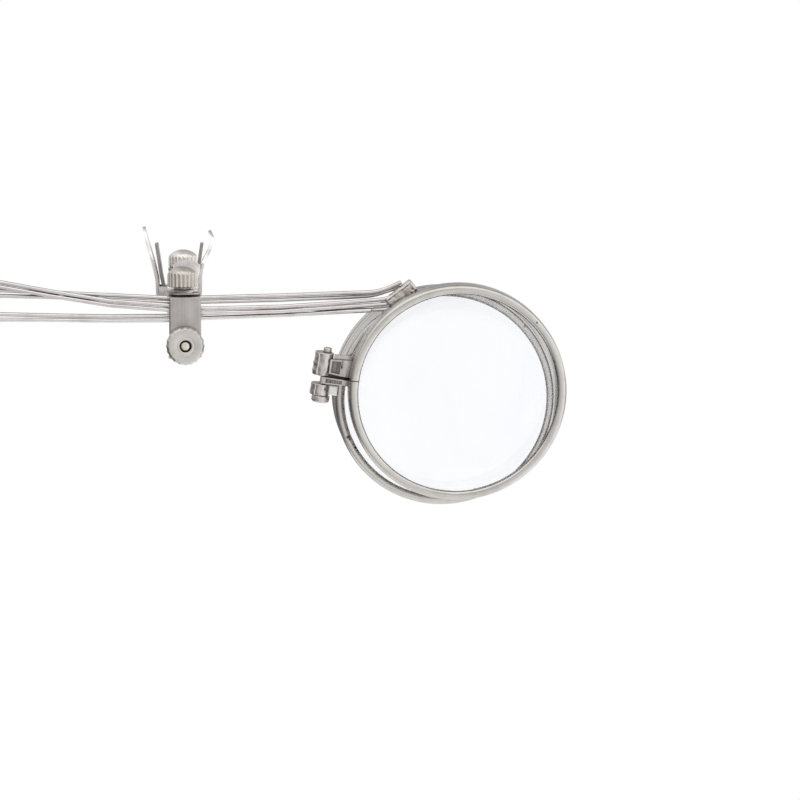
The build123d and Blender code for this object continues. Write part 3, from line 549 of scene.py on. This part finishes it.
def prism(name, outer, holes, h0, h1, bevel=0.08, steps=3, cuts=(), warp=None):
    """outline between two heights, with rounded edges; holes run through it"""
    bm = bmesh.new()

    def wall(loop, sign):
        rings_ = []
        for s in range(steps + 1):
            w = math.pi / 2 * s / steps
            rings_.append((h0 + bevel * (1 - math.sin(w)), bevel * (1 - math.cos(w))))
        rings_ = [(h0 + bevel * (1 - math.sin(math.pi / 2 * (1 - s / steps))), bevel * (1 - math.cos(math.pi / 2 * (1 - s / steps)))) for s in range(steps + 1)]
        top = [(h0 + h1 - h, i) for h, i in reversed(rings_)]
        rows = []
        for h, i in rings_ + top:
            pts = inset(loop, i * sign)
            rows.append([bm.verts.new(Vector((x, y, h)) * MM) for x, y in pts])
        for a, b in zip(rows, rows[1:]):
            for j in range(len(a)):
                m = (j + 1) % len(a)
                bm.faces.new((a[j], a[m], b[m], b[j]))
        return rows[0], rows[-1]

    low, high = [], []
    for loop, sign in [(outer, 1)] + [(h, -1) for h in holes]:
        a, b = wall(loop, sign)
        low.append(a)
        high.append(b)
    for group in (low, high):
        edges = []
        for row in group:
            for j in range(len(row)):
                e = bm.edges.get((row[j], row[(j + 1) % len(row)]))
                edges.append(e)
        bmesh.ops.triangle_fill(bm, use_beauty=True, use_dissolve=False, edges=edges)
    for axis, values in cuts:
        for value in values:
            point, normal = Vector((0, 0, 0)), Vector((0, 0, 0))
            point[axis], normal[axis] = value * MM, 1.0
            bmesh.ops.bisect_plane(bm, geom=bm.verts[:] + bm.edges[:] + bm.faces[:], plane_co=point, plane_no=normal, dist=1e-8)
    if warp:
        for v in bm.verts:
            v.co = Vector(warp(*(v.co / MM))) * MM
    me = bpy.data.meshes.new(name)
    bm.to_mesh(me)
    bm.free()
    return me


def from_cad(name, node, place, mat, slot, bevel=0.05, angle=28, segments=2):
    """a new piece with the CAD piece's shape and rounded edges, in its own frame"""
    source = frame["nodes"][node]
    bm = bmesh.new()
    bm.from_mesh(source.data)
    bmesh.ops.transform(bm, matrix=place.matrix().inverted(), verts=bm.verts)
    bmesh.ops.remove_doubles(bm, verts=bm.verts, dist=2e-7)
    bmesh.ops.dissolve_limit(bm, angle_limit=rad(0.8), verts=bm.verts, edges=bm.edges)
    bm.normal_update()
    edges = [e for e in bm.edges if e.is_manifold and e.calc_face_angle() > rad(angle)]
    if bevel and edges:
        bmesh.ops.bevel(bm, geom=edges, offset=bevel * MM, offset_type="OFFSET", segments=segments, profile=0.5, affect="EDGES", clamp_overlap=True, harden_normals=False)
    bmesh.ops.triangulate(bm, faces=[f for f in bm.faces if len(f.verts) > 4])
    me = bpy.data.meshes.new(name)
    bm.to_mesh(me)
    bm.free()
    return put(name, me, place, mat, source["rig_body"], slot, [node], sharp=32)


# --------------------------------------------------------------------- rims
def rim_profile(back, groove, w):
    """half section of a rim: rounded face, turned line outside, thin wall behind"""
    g = groove
    return [
        (13.185, 0.905), (13.18, 1.02), (13.19, 1.13), (13.22, 1.225), (13.27, 1.305), (13.345, 1.375), (13.44, 1.43), (13.56, 1.47), (13.69, 1.492),
        (13.80, 1.498), (13.92, 1.490), (14.04, 1.462), (14.15, 1.412), (14.245, 1.34), (14.32, 1.245), (14.37, 1.13), (14.395, 1.0),
        (14.40, g + 0.30 * w), (14.396, g + 0.22 * w), (14.36, g + 0.155 * w), (14.24, g + 0.11 * w), (14.195, g + 0.07 * w), (14.19, g - 0.07 * w),
        (14.24, g - 0.11 * w), (14.36, g - 0.155 * w), (14.396, g - 0.22 * w), (14.40, g - 0.30 * w),
        (14.40, -back + 0.26), (14.37, -back + 0.13), (14.29, -back + 0.04), (14.16, -back + 0.005), (13.95, -back + 0.005),
        (13.845, -back + 0.04), (13.79, -back + 0.12), (13.785, -back + 0.3), (13.785, 0.76),
    ]


for tag, place, body, node, back, groove_h, groove_w in (
    ("rear", REAR, "arm", "rear_lens_rim", REAR_BACK, -3.1, 1.7),
    ("front", FRONT, "front_glass", "front_lens_rim", HALF, 0.51, 1.0),
):
    put(tag + "_rim_turned", lathe(tag + "_rim_turned", rim_profile(back, groove_h, groove_w), 300, loop=True), place, M_RIM_REAR if tag == "rear" else M_RIM_FRONT, body, "plated_rim", [node], sharp=50)


# ------------------------------------------------------------------- lenses
def curve(h_edge, sign, n=22):
    """points from the middle of a curved side to its edge"""
    out = []
    for i in range(n + 1):
        r = LENS_R * i / n
        s = LENS_CURVE - math.sqrt(LENS_CURVE**2 - r * r)
        out.append((r, h_edge + sign * (SAG - s)))
    return out


front_profile = curve(SEAT - 0.03 - 0.07, 1) + [(LENS_R, -0.19), (LENS_R - 0.03, -0.25), (LENS_R - 0.09, -0.28), (6.0, -0.28), (0, -0.28)]
put("front_lens_glass", lathe("front_lens_glass", front_profile, 160), FRONT, M_GLASS, "front_glass", "glass", ["front_lens"], sharp=30)
rear_profile = [(0, 0.74), (6.0, 0.74), (LENS_R - 0.09, 0.74), (LENS_R - 0.03, 0.71), (LENS_R, 0.65)] + list(reversed(curve(0.74 - LENS_EDGE, -1)))
put("rear_lens_glass", lathe("rear_lens_glass", rear_profile, 160), REAR, M_GLASS, "arm", "glass", ["rear_lens"], sharp=30)

for tag, place, h, a0, body, node in (
    ("rear", REAR, SEAT - LENS_EDGE - 0.42, -1.5, "arm", "rear_lens_retainer"),
    ("front", FRONT, SEAT - LENS_EDGE - 0.10 - 0.25, -1.4, "front_glass", "front_lens_retainer"),
):
    r = BORE_R - 0.27
    pts = [Vector((r * math.cos(a0 + rad(348) * i / 150), r * math.sin(a0 + rad(348) * i / 150), h)) for i in range(151)]
    put(tag + "_snap_ring", tube(tag + "_snap_ring", pts, 0.25, 12), place, M_WIRE, body, "spring_wire", [node], sharp=50)

# -------------------------------------------------------------------- wires
FP, FQ = -5.85, 14.14
FDIR = rad(38.9)
FD = RX * math.cos(FDIR) + RY * math.sin(FDIR)
FN = RY * math.cos(FDIR) - RX * math.sin(FDIR)


def on(along, across, h):
    return ring(FP, FQ, h) + FD * along + FN * across


UPPER = [
    on(1.0, 1.14, 0.95), on(-2.15, 2.03, 0.95), arm(21.1, -0.10, 7.02), arm(12.5, 0.20, 6.74), arm(2.7, 0.30, 6.55),
    arm(-2.5, 0.30, 6.56), arm(-9.7, 0.30, 6.95), arm(-17.5, 0.30, 7.34), arm(-29.0, 0.30, 7.95), arm(-33.5, 0.30, 8.55),
    arm(-35.2, 0.30, 7.45), arm(-33.2, 0.30, 6.55), arm(-29.0, 0.30, 7.12), arm(-17.5, 0.30, 6.74), arm(-9.7, 0.30, 6.35),
    arm(-2.5, 0.30, 5.96), arm(2.7, 0.30, 5.96), arm(12.5, 0.30, 6.14), arm(21.1, 0.28, 6.42), arm(24.8, 0.12, 6.62), arm(28.4, -0.08, 7.80),
]
MIDDLE = [
    on(0.9, 0.58, 1.86), on(-1.6, 0.58, 1.86), arm(21.1, -0.95, 5.84), arm(12.5, -0.30, 5.30), arm(2.7, -0.30, 5.16),
    arm(-2.5, -0.30, 5.64), arm(-9.7, -0.30, 6.24), arm(-17.5, -0.30, 7.56), arm(-24.0, -0.30, 8.80), arm(-30.0, -0.30, 10.10),
    arm(-34.2, -0.30, 11.70), arm(-36.1, -0.30, 11.20), arm(-34.4, -0.30, 9.90), arm(-30.0, -0.30, 9.25), arm(-24.0, -0.30, 8.20),
    arm(-17.5, -0.30, 6.97), arm(-9.7, -0.30, 5.65), arm(-2.5, -0.30, 5.03), arm(2.7, -0.30, 4.56), arm(12.5, -0.30, 4.68),
    arm(21.1, -0.95, 5.28), on(-1.93, 0.0, 1.86), on(0.5, 0.0, 1.86),
]
LOWER = [
    on(0.2, -0.58, 1.86), on(-2.4, -0.58, 1.86), arm(24.4, -0.85, 4.86), arm(21.1, -0.30, 4.78), arm(16.5, 0.0, 4.92),
    arm(12.5, 0.30, 4.76), arm(8.0, 0.30, 4.60), arm(2.7, 0.30, 4.46), arm(-2.5, 0.30, 4.18), arm(-9.7, 0.10, 4.18),
    arm(-17.5, 0.0, 4.38), arm(-29.0, 0.0, 4.75), arm(-33.0, 0.0, 5.25), arm(-34.7, 0.0, 4.30), arm(-32.8, 0.0, 3.35),
    arm(-29.0, 0.0, 3.92), arm(-17.5, 0.0, 3.79), arm(-9.7, 0.10, 3.59), arm(-2.5, 0.10, 3.58), arm(2.7, 0.10, 3.86),
    arm(8.0, 0.10, 4.02), arm(12.5, 0.02, 4.15), arm(16.5, -0.45, 4.34), arm(21.1, -0.95, 4.64), arm(24.4, -1.47, 4.80),
]


def local(place, p):
    d = Vector(p) - place.o
    return Vector((d.dot(place.x), d.dot(place.y), d.dot(place.z)))


for name, pts in (("upper", UPPER), ("middle", MIDDLE), ("lower", LOWER)):
    route = [local(ARM, p) for p in path_of(pts)]
    put("hairpin_" + name, tube("hairpin_" + name, route, 0.27, 20), ARM, M_WIRE, "arm", "spring_wire", ["arm_wire_" + name], sharp=60)

# ------------------------------------------------------------ solder ferrule
FER = Place(ring(FP, FQ, 1.62), FD, FN, FD.cross(FN))


def blob():
    verts, faces, rows = [], [], []
    n_l, n_s = 92, 84
    for i in range(n_l + 1):
        t = i / n_l
        x = -2.15 + 4.3 * t
        e = min(1.0, (0.5 - abs(t - 0.5)) / 0.075)
        e = math.sqrt(max(0.0, 1 - (1 - e) ** 2)) * 0.30 + 0.70 if e < 1 else 1.0
        row = []
        for j in range(n_s):
            w = 2 * math.pi * j / n_s
            c, s = math.cos(w), math.sin(w)
            # a flattened tube
            y = 0.93 * math.copysign(abs(c) ** 0.55, c) * e
            z = 1.06 * math.copysign(abs(s) ** 0.62, s) * e
            bump = noise.noise(Vector((x * 1.5, y * 1.9, z * 1.9))) * 0.085 + noise.noise(Vector((x * 4.1 + 7, y * 4.6, z * 4.6))) * 0.055
            bump += noise.noise(Vector((x * 9.0, y * 9.0 + 5, z * 9.0))) * 0.030
            # a pit near the right end
            bump -= 0.22 * math.exp(-(((x - 1.62) / 0.17) ** 2 + ((y + 0.30) / 0.17) ** 2)) if s > 0 else 0.0
            k = 1.0 - 0.06 + bump
            row.append(len(verts))
            verts.append((x, y * k, z * k))
        rows.append(row)
    for a, b in zip(rows, rows[1:]):
        for j in range(n_s):
            m = (j + 1) % n_s
            faces.append((a[j], a[m], b[m], b[j]))
    for row, x in ((rows[0], -2.19), (rows[-1], 2.12)):
        c = len(verts)
        verts.append((x, 0, 0))
        for j in range(n_s):
            faces.append((row[j], row[(j + 1) % n_s], c))
    return mesh_of("solder_sleeve", verts, faces)


put("solder_sleeve", blob(), FER, M_SOLDER, "arm", "solder", ["wire_ferrule"], sharp=60)
edge = [local(ARM, on(-1.9 + 3.9 * i / 12, 0.80 - 0.10 * i / 12 + 0.03 * math.sin(i * 2.1), 2.50 + 0.03 * math.cos(i * 1.7))) for i in range(13)]
put("solder_sleeve_edge", tube("solder_sleeve_edge", edge, 0.17, 14), ARM, M_WIRE, "arm", "solder", ["wire_ferrule"], sharp=60)

# -------------------------------------------------------------------- hinge
# x across, y along the hinge, z to the viewer
LEAF = Place(HO, HX, HZ, HX.cross(HZ))


def circle(cx, cy, r, n=40):
    return [(cx + r * math.cos(2 * math.pi * i / n), cy + r * math.sin(2 * math.pi * i / n)) for i in range(n)]


def rough_skin(size, scale, seed):
    """a warp that leaves a slightly uneven, hand-filed surface"""

    def f(x, y, z):
        v = Vector((x * scale + seed, y * scale, z * scale))
        return (x + size * noise.noise(v), y + size * noise.noise(v + Vector((9, 3, 1))), z)

    return f


FRONT_LEAF = dict(body="front_glass", slot="plated_sheet", nodes=["front_hinge_leaf"], sharp=40)
REAR_LEAF = dict(body="arm", slot="plated_sheet", nodes=["rear_hinge_leaf"], sharp=40)
slices = ((2, [0.3 + 0.2 * i for i in range(14)]),)


def barrel(x, y, z):
    """rolled knuckle: uneven, with two small burrs on its left and the sheet's end as a step"""
    x, y, z = rough_skin(0.07, 1.9, 3.0)(x, y, z)
    left = max(0.0, min(1.0, (-x - 0.9) / 0.5))
    for t, size in ((1.62, 0.13), (0.62, 0.12)):
        x -= left * size * math.exp(-(((z - t) / 0.16) ** 2))
    return (x, y, z)


def rolled(cx, r, step):
    """outline of a rolled knuckle, the end of the sheet shows as a small step"""
    out = []
    for i in range(72):
        w = 2 * math.pi * i / 72
        d = (math.degrees(w) - 232) % 360
        out.append((cx + (r - step * max(0.0, 1 - d / 150.0)) * math.cos(w), (r - step * max(0.0, 1 - d / 150.0)) * math.sin(w)))
    return out


put("hinge_barrel_front", prism("hinge_barrel_front", rolled(-0.32, 1.24, 0.13), [circle(0, 0, 0.45)], 0.05, 3.13, 0.13, 3, slices, barrel), HINGE, M_HINGE, **FRONT_LEAF)
# leaf with a filed recess and a slot, lighter border left standing
put(
    "hinge_leaf_front",
    prism(
        "hinge_leaf_front",
        [(0.44, 0.50), (3.42, 0.30), (3.42, 2.62), (0.42, 2.46)],
        [[(0.72, 0.74), (1.86, 0.67), (1.86, 2.30), (0.70, 2.25)], [(1.98, 1.46), (2.10, 1.45), (2.10, 2.44), (1.98, 2.43)]],
        0.56, 1.32, 0.07, 2,
    ),
    LEAF, M_HINGE, **FRONT_LEAF,
)
put("hinge_leaf_recess", prism("hinge_leaf_recess", [(0.62, 0.66), (1.92, 0.60), (1.92, 2.36), (0.62, 2.32)], [], 0.58, 1.19, 0.02, 2, ((0, [0.7 + 0.12 * i for i in range(10)]),), lambda x, y, z: (x, y, z - 0.05 * (0.5 + 0.5 * math.cos(x * 26)))), LEAF, M_HINGE_DARK, **FRONT_LEAF)
put("hinge_leaf_bar", prism("hinge_leaf_bar", [(-0.30, -0.92), (1.6, -0.86), (3.42, -0.80), (3.42, -0.04), (-0.30, 0.02)], [[(0.22, -0.70), (2.35, -0.66), (2.35, -0.26), (0.22, -0.20)]], 0.78, 1.26, 0.07, 2), LEAF, M_HINGE, **FRONT_LEAF)
put("hinge_bar_recess", prism("hinge_bar_recess", [(0.14, -0.76), (2.42, -0.72), (2.42, -0.20), (0.14, -0.14)], [], 0.80, 1.17, 0.02, 2), LEAF, M_HINGE_DARK, **FRONT_LEAF)
put("hinge_leaf_base", prism("hinge_leaf_base", [(0.95, 2.30), (3.42, 2.30), (3.42, 3.13), (0.95, 3.13)], [], 0.55, 0.89, 0.06, 2), LEAF, M_HINGE, **FRONT_LEAF)
# the web and the foot show through the hinge's gaps, painted near black as painted shade
put("hinge_leaf_web", prism("hinge_leaf_web", [(0.95, -0.90), (3.42, -0.90), (3.42, 2.40), (0.95, 2.40)], [], 0.55, 0.84, 0.02, 2), LEAF, M_GAP_SHADE, **FRONT_LEAF)
put("hinge_barrel_foot", prism("hinge_barrel_foot", [(-0.28, -0.90), (1.0, -0.90), (1.0, 0.60), (-0.28, 0.60)], [], 0.70, 0.84, 0.02, 2), LEAF, M_GAP_SHADE, **FRONT_LEAF)

put("hinge_barrel_rear", prism("hinge_barrel_rear", rolled(-0.25, 1.24, 0.12), [circle(0, 0, 0.42)], -2.61, -1.05, 0.12, 3, ((2, [-2.4 + 0.2 * i for i in range(7)]),), rough_skin(0.06, 2.1, 8.0)), HINGE, M_HINGE, **REAR_LEAF)
put("hinge_leaf_rear", prism("hinge_leaf_rear", [(0.55, -2.60), (2.20, -2.60), (2.24, -1.12), (0.55, -1.12)], [], -0.98, -0.30, 0.12, 3, ((0, [0.9, 1.3, 1.7]), (1, [-2.3, -1.9, -1.5]),), lambda x, y, z: (x, y, z - 0.10 * abs((y + 1.85) / 0.75) ** 2)), LEAF, M_SHEET, **REAR_LEAF)
from_cad("hinge_rivet", "hinge_pin", HINGE, M_SOLDER, "plated_sheet", 0.06)

# -------------------------------------------------------------- wire clamp
PU = 0.08
W = 4.1 / 2


def front_outline():
    top = 6.75
    r = 0.50
    out = [(PU + W, NZ)]
    out += arc2(PU + W - r, top - r, r, 0, 90, 8)
    out += arc2(PU - W + r, top - r, r, 90, 180, 8)
    out += [(PU - W, 3.5)]
    out += arc2(PU, NZ, W, 180, 360, 40)[:-1]
    return out


def bow(x, y, z):
    """the plate bows a little towards the viewer in the middle and rolls back at the top"""
    k = min(1.0, abs(x - PU) / W)
    top = max(0.0, (y - 6.05) / 0.70)
    return (x, y, z - 0.085 * k * k - 0.10 * top * top)


plate_cuts = ((0, [PU + W * i / 7 for i in range(-6, 7)]), (1, [1.5, 2.5, 3.5, 4.5, 5.4, 6.0, 6.3, 6.5, 6.62]))
put(
    "clamp_plate_front",
    prism("clamp_plate_front", front_outline(), [circle(0, NZ, 0.72)], 0.735, 1.245, 0.16, 4, plate_cuts, bow),
    CLAMP, M_PLATE, "clamp", "plated_sheet", ["clamp_front_plate"], sharp=50,
)
from_cad("clamp_plate_back", "clamp_back_plate", CLAMP, M_PLATE, "plated_sheet", 0.07)

# brass screw
screw = [(0, -1.945), (1.02, -1.945), (1.18, -1.90), (1.245, -1.80), (1.25, -1.40), (1.22, -1.29), (1.10, -1.26), (0.62, -1.255)]
z = -1.2
while z < 2.55:
    screw += [(0.62, z), (0.56, z + 0.06), (0.62, z + 0.12)]
    z += 0.125
screw += [(0.61, 2.66), (0.595, 2.78), (0.53, 2.90), (0.40, 2.955), (0.20, 2.97), (0, 2.97)]
put("brass_screw", lathe("brass_screw", screw, 64), SCREW, M_BRASS, "clamp", "brass", ["clamp_screw"], sharp=45)


# ------------------------------------------------------------ knurled parts
def knurl(count, depth, width):
    """depth of round grooves at an angle"""

    def f(t):
        a = (t * count / (2 * math.pi)) % 1.0
        d = abs(a - 0.5) * 2  # 0 in the groove's middle
        return depth * math.sqrt(max(0.0, 1 - (d / width) ** 2)) if d < width else 0.0

    return f


NB = 1.28
NT = 1.85
NR = 2.50
nut_profile = [
    (0.66, NB), (1.9, NB), (2.28, NB + 0.02), (2.40, NB + 0.07), (2.48, NB + 0.15), (NR, NB + 0.26), (NR, NB + 0.6), (NR, NB + 1.0), (NR, NB + 1.3), (NR, NB + NT - 0.40),
    (2.495, NB + NT - 0.34), (2.47, NB + NT - 0.28), (2.24, NB + NT - 0.045), (2.18, NB + NT - 0.012), (2.10, NB + NT),
    (1.150, NB + NT), (1.13, NB + NT - 0.008), (1.115, NB + NT - 0.022), (1.06, NB + NT - 0.022), (1.04, NB + NT - 0.008), (1.02, NB + NT),
    (0.86, NB + NT), (0.82, NB + NT - 0.02), (0.79, NB + NT - 0.08), (0.775, NB + NT - 0.50), (0.72, NB + NT - 0.62), (0.66, NB + NT - 0.66),
]
groove = knurl(20, 0.075, 0.80)
NUT_ROWS = {i: w for i, w in zip(range(3, 13), (0.35, 0.8, 1, 1, 1, 1, 1, 1, 0.95, 0.40))}


def nut_change(t, i, r, h):
    return (r - groove(t) * NUT_ROWS.get(i, 0.0), h)


put("knurled_nut", lathe("knurled_nut", nut_profile, 20 * 18, loop=True, change=nut_change), SCREW, M_NUT, "nut", "plated_knob", ["clamp_nut"], sharp=42)


def knob(name, low, height, rise, body, node, y, mat, neck=0.0):
    """knurled drum under a low dome, on a collar if neck is its height"""
    R = 1.93
    low += neck
    prof = [(0.74, low), (1.5, low), (1.72, low + 0.02), (1.84, low + 0.07), (1.91, low + 0.15), (R, low + 0.24)]
    n = 5
    for i in range(1, n):
        prof.append((R, low + 0.24 + (height - 0.42) * i / n))
    prof += [(R, low + height - 0.16), (1.915, low + height - 0.07), (1.87, low + height)]
    rows = {i: 1.0 for i in range(len(prof))}
    rows[0] = rows[1] = 0.0
    rows[2], rows[3], rows[4] = 0.25, 0.6, 0.9
    rows[len(prof) - 1], rows[len(prof) - 2] = 0.55, 0.85
    m = len(prof)
    # low dome with a soft shoulder
    for i, (r, k) in enumerate(((1.80, 0.13), (1.69, 0.28), (1.52, 0.45), (1.30, 0.62), (1.02, 0.78), (0.70, 0.90), (0.36, 0.975), (0, 1.0))):
        prof.append((r, low + height + rise * k))
        rows[m + i] = 0.22 if i == 0 else 0.0
    g = knurl(22, 0.17, 0.80)
    inner = [(0, low + height - 0.55), (0.74, low + height - 0.55)]
    if neck:
        inner += [(0.74, low - neck), (1.08, low - neck), (1.13, low - neck + 0.05), (1.13, low - 0.03), (1.16, low)]
    prof = inner + (prof[1:] if neck else prof)
    if neck:
        rows = {i - 1: w for i, w in rows.items() if i}
    rows = {i + len(inner): w for i, w in rows.items()}
    place = Place((PIVOT_X, y, 0), (1, 0, 0), (0, 1, 0), (0, 0, 1))
    me = lathe(name, prof, 22 * 14, change=lambda t, i, r, h: (r - g(t) * rows.get(i, 0.0), h))
    return put(name, me, place, mat, body, "plated_knob", [node], sharp=42)


STRAP_LOW, STRAP_HIGH, STRAP_T = 7.33, 9.72, 0.30
knob("knob_front", STRAP_LOW + STRAP_T + 0.03, 1.81, 0.96, "front_knob", "front_pivot_knob", ARM_Y, M_KNOB, 0.27)
knob("knob_rear", STRAP_HIGH + STRAP_T + 0.03, 1.45, 0.92, "rear_knob", "rear_pivot_knob", REAR_Y, M_KNOB_REAR_PAINTED_LIGHT)

for name, node, y in (
    ("post_front", "front_pivot_post", ARM_Y), ("post_rear", "rear_pivot_post", REAR_Y),
    ("washer_front", "front_friction_washer", ARM_Y), ("washer_rear", "rear_friction_washer", REAR_Y),
):
    mat, slot = (M_SPRING, "spring_steel") if "washer" in name else (M_SHEET, "plated_sheet")
    from_cad(name, node, Place((PIVOT_X, y, 0), (1, 0, 0), (0, 1, 0), (0, 0, 1)), mat, slot, 0.02 if "washer" in name else 0.04)

# --------------------------------------------------------------- link, clip
from_cad("link_strap_bent", "link_strap", WORLD, M_SHEET, "plated_sheet", 0.09)
from_cad("jaw_left", "clip_jaw_left", WORLD, M_SHEET, "plated_sheet", 0.09)
from_cad("jaw_right", "clip_jaw_right", WORLD, M_SHEET, "plated_sheet", 0.09)
from_cad("pin_of_clip", "clip_pin", WORLD, M_SHEET, "plated_sheet", 0.06)
from_cad("leaf_spring", "clip_spring", WORLD, M_SPRING, "spring_steel", 0.06)


# -------------------------------------------------------------------- stage
def plain(name, colour, rough):
    mat = bpy.data.materials.new(name)
    mat.use_nodes = True
    p = mat.node_tree.nodes["Principled BSDF"]
    p.inputs["Base Color"].default_value = tuple(colour) + (1,)
    p.inputs["Roughness"].default_value = rough
    return mat


def floor():
    """a round pale floor some way under the lower rim; the room beyond it is as pale"""
    me = bpy.data.meshes.new("studio_floor")
    n, r, z_ = 96, 0.055, -0.0660
    verts = [(0.012 + r * math.cos(2 * math.pi * i / n), -0.012 + r * math.sin(2 * math.pi * i / n), z_) for i in range(n)]
    me.from_pydata(verts, [], [tuple(range(n))])
    me.materials.append(plain("floor_pale", (0.96, 0.96, 0.965), 0.9))
    ob = bpy.data.objects.new("studio_floor", me)
    bpy.context.scene.collection.objects.link(ob)
    return ob


floor()


def softbox(name, at, to, size, power):
    light = bpy.data.lights.new(name, "AREA")
    light.shape = "RECTANGLE"
    light.size, light.size_y = size
    light.energy = power
    ob = bpy.data.objects.new(name, light)
    ob.location = Vector(at)
    ob.rotation_mode = "QUATERNION"
    ob.rotation_quaternion = (Vector(at) - Vector(to)).to_track_quat("Z", "Y")
    bpy.context.scene.collection.objects.link(ob)
    return ob


MID = (0.02, 0.0, 0.0)
softbox("light_top", (-0.12, -0.42, 0.52), MID, (0.80, 0.60), 0.55)
softbox("light_left", (-0.60, -0.45, 0.34), MID, (0.30, 0.40), 0.15)

world = bpy.data.worlds.new("studio")
bpy.context.scene.world = world
world.use_nodes = True
wt = world.node_tree
wt.nodes.clear()
k = Nodes(wt)
out = k.add("ShaderNodeOutputWorld")
bg = k.add("ShaderNodeBackground")
k.link(bg.outputs[0], out.inputs[0])
tc = k.add("ShaderNodeTexCoord")
sx = k.add("ShaderNodeSeparateXYZ")
k.link(tc.outputs["Generated"], sx.inputs[0])
# lighter above and to the right, and a darker part of the room high behind the object
open_sky = k.math("ADD", k.span(sx.outputs[1], -1.0, 0.3, 0.88, 1.0), k.span(sx.outputs[2], 0.5, 0.95, 0.0, 0.20))
open_sky = k.math("ADD", open_sky, k.span(sx.outputs[0], 0.05, 0.60, 0.0, 0.32))
high = k.math("MULTIPLY", k.span(sx.outputs[2], 0.10, 0.28, 0.0, 0.58), k.span(sx.outputs[0], -0.38, -0.12, 0.0, 1.0))
under = k.math("MULTIPLY", k.span(sx.outputs[2], -0.42, -0.30, 0.0, 1.0), k.span(sx.outputs[2], -0.09, -0.01, 0.72, 0.12))
shade = k.math("MULTIPLY", k.math("MAXIMUM", high, under), k.span(sx.outputs[1], -0.22, 0.16, 0.0, 1.0))
room = k.math("MULTIPLY", open_sky, k.math("SUBTRACT", 1.0, shade))
# something dark stands low on the left, and the viewer's side is dimmer above eye level
aside = k.math("ADD", k.math("MULTIPLY", sx.outputs[0], -0.75), k.math("MULTIPLY", sx.outputs[2], -0.65))
left = k.span(aside, 0.32, 0.84, 0.0, 0.80)
front = k.math("MULTIPLY", k.math("MULTIPLY", k.span(sx.outputs[2], 0.03, 0.10, 0.0, 1.0), k.span(sx.outputs[2], 0.32, 0.50, 1.0, 0.0)), k.span(sx.outputs[1], -0.97, -0.80, 0.40, 0.0))
room = k.math("MULTIPLY", room, k.math("SUBTRACT", 1.0, left))
# the wall behind the object is a little grey in reflections, which draws thin edges
room = k.math("MULTIPLY", room, k.span(sx.outputs[1], 0.50, 0.92, 1.0, 0.90))
room = k.math("MULTIPLY", room, k.math("SUBTRACT", 1.0, front))
# what the viewer sees directly, or through the glass, is plain and pale
path = k.add("ShaderNodeLightPath")
direct = k.math("MAXIMUM", path.outputs["Is Camera Ray"], path.outputs["Is Transmission Ray"])
soft = k.math("MULTIPLY", path.outputs["Is Diffuse Ray"], 1.08)
level = k.math("MAXIMUM", k.math("MAXIMUM", room, direct), soft)
bg.inputs["Color"].default_value = (1.0, 1.0, 1.0, 1.0)
k.link(level, bg.inputs["Strength"])

# ------------------------------------------------------------------- camera
cam_data = bpy.data.cameras.new("camera")
cam_data.lens = 141.75
cam_data.sensor_width = 36.0
cam_data.clip_start, cam_data.clip_end = 0.02, 20.0
cam = bpy.data.objects.new("camera", cam_data)
bpy.context.scene.collection.objects.link(cam)
AZ, EL, DIST = rad(-3.0), rad(6.0), 0.420
back = Vector((math.sin(AZ) * math.cos(EL), -math.cos(AZ) * math.cos(EL), math.sin(EL)))
right = Vector((math.cos(AZ), math.sin(AZ), 0.0))
up = back.cross(right)
target = Vector((0.029366, -0.0090, -0.007584))
m = Matrix.Identity(4)
for i in range(3):
    m[i][0], m[i][1], m[i][2], m[i][3] = right[i], up[i], back[i], (target + back * DIST)[i]
cam.matrix_world = m
bpy.context.scene.camera = cam
bpy.context.scene.view_settings.view_transform = "Standard"

bpy.context.view_layer.update()
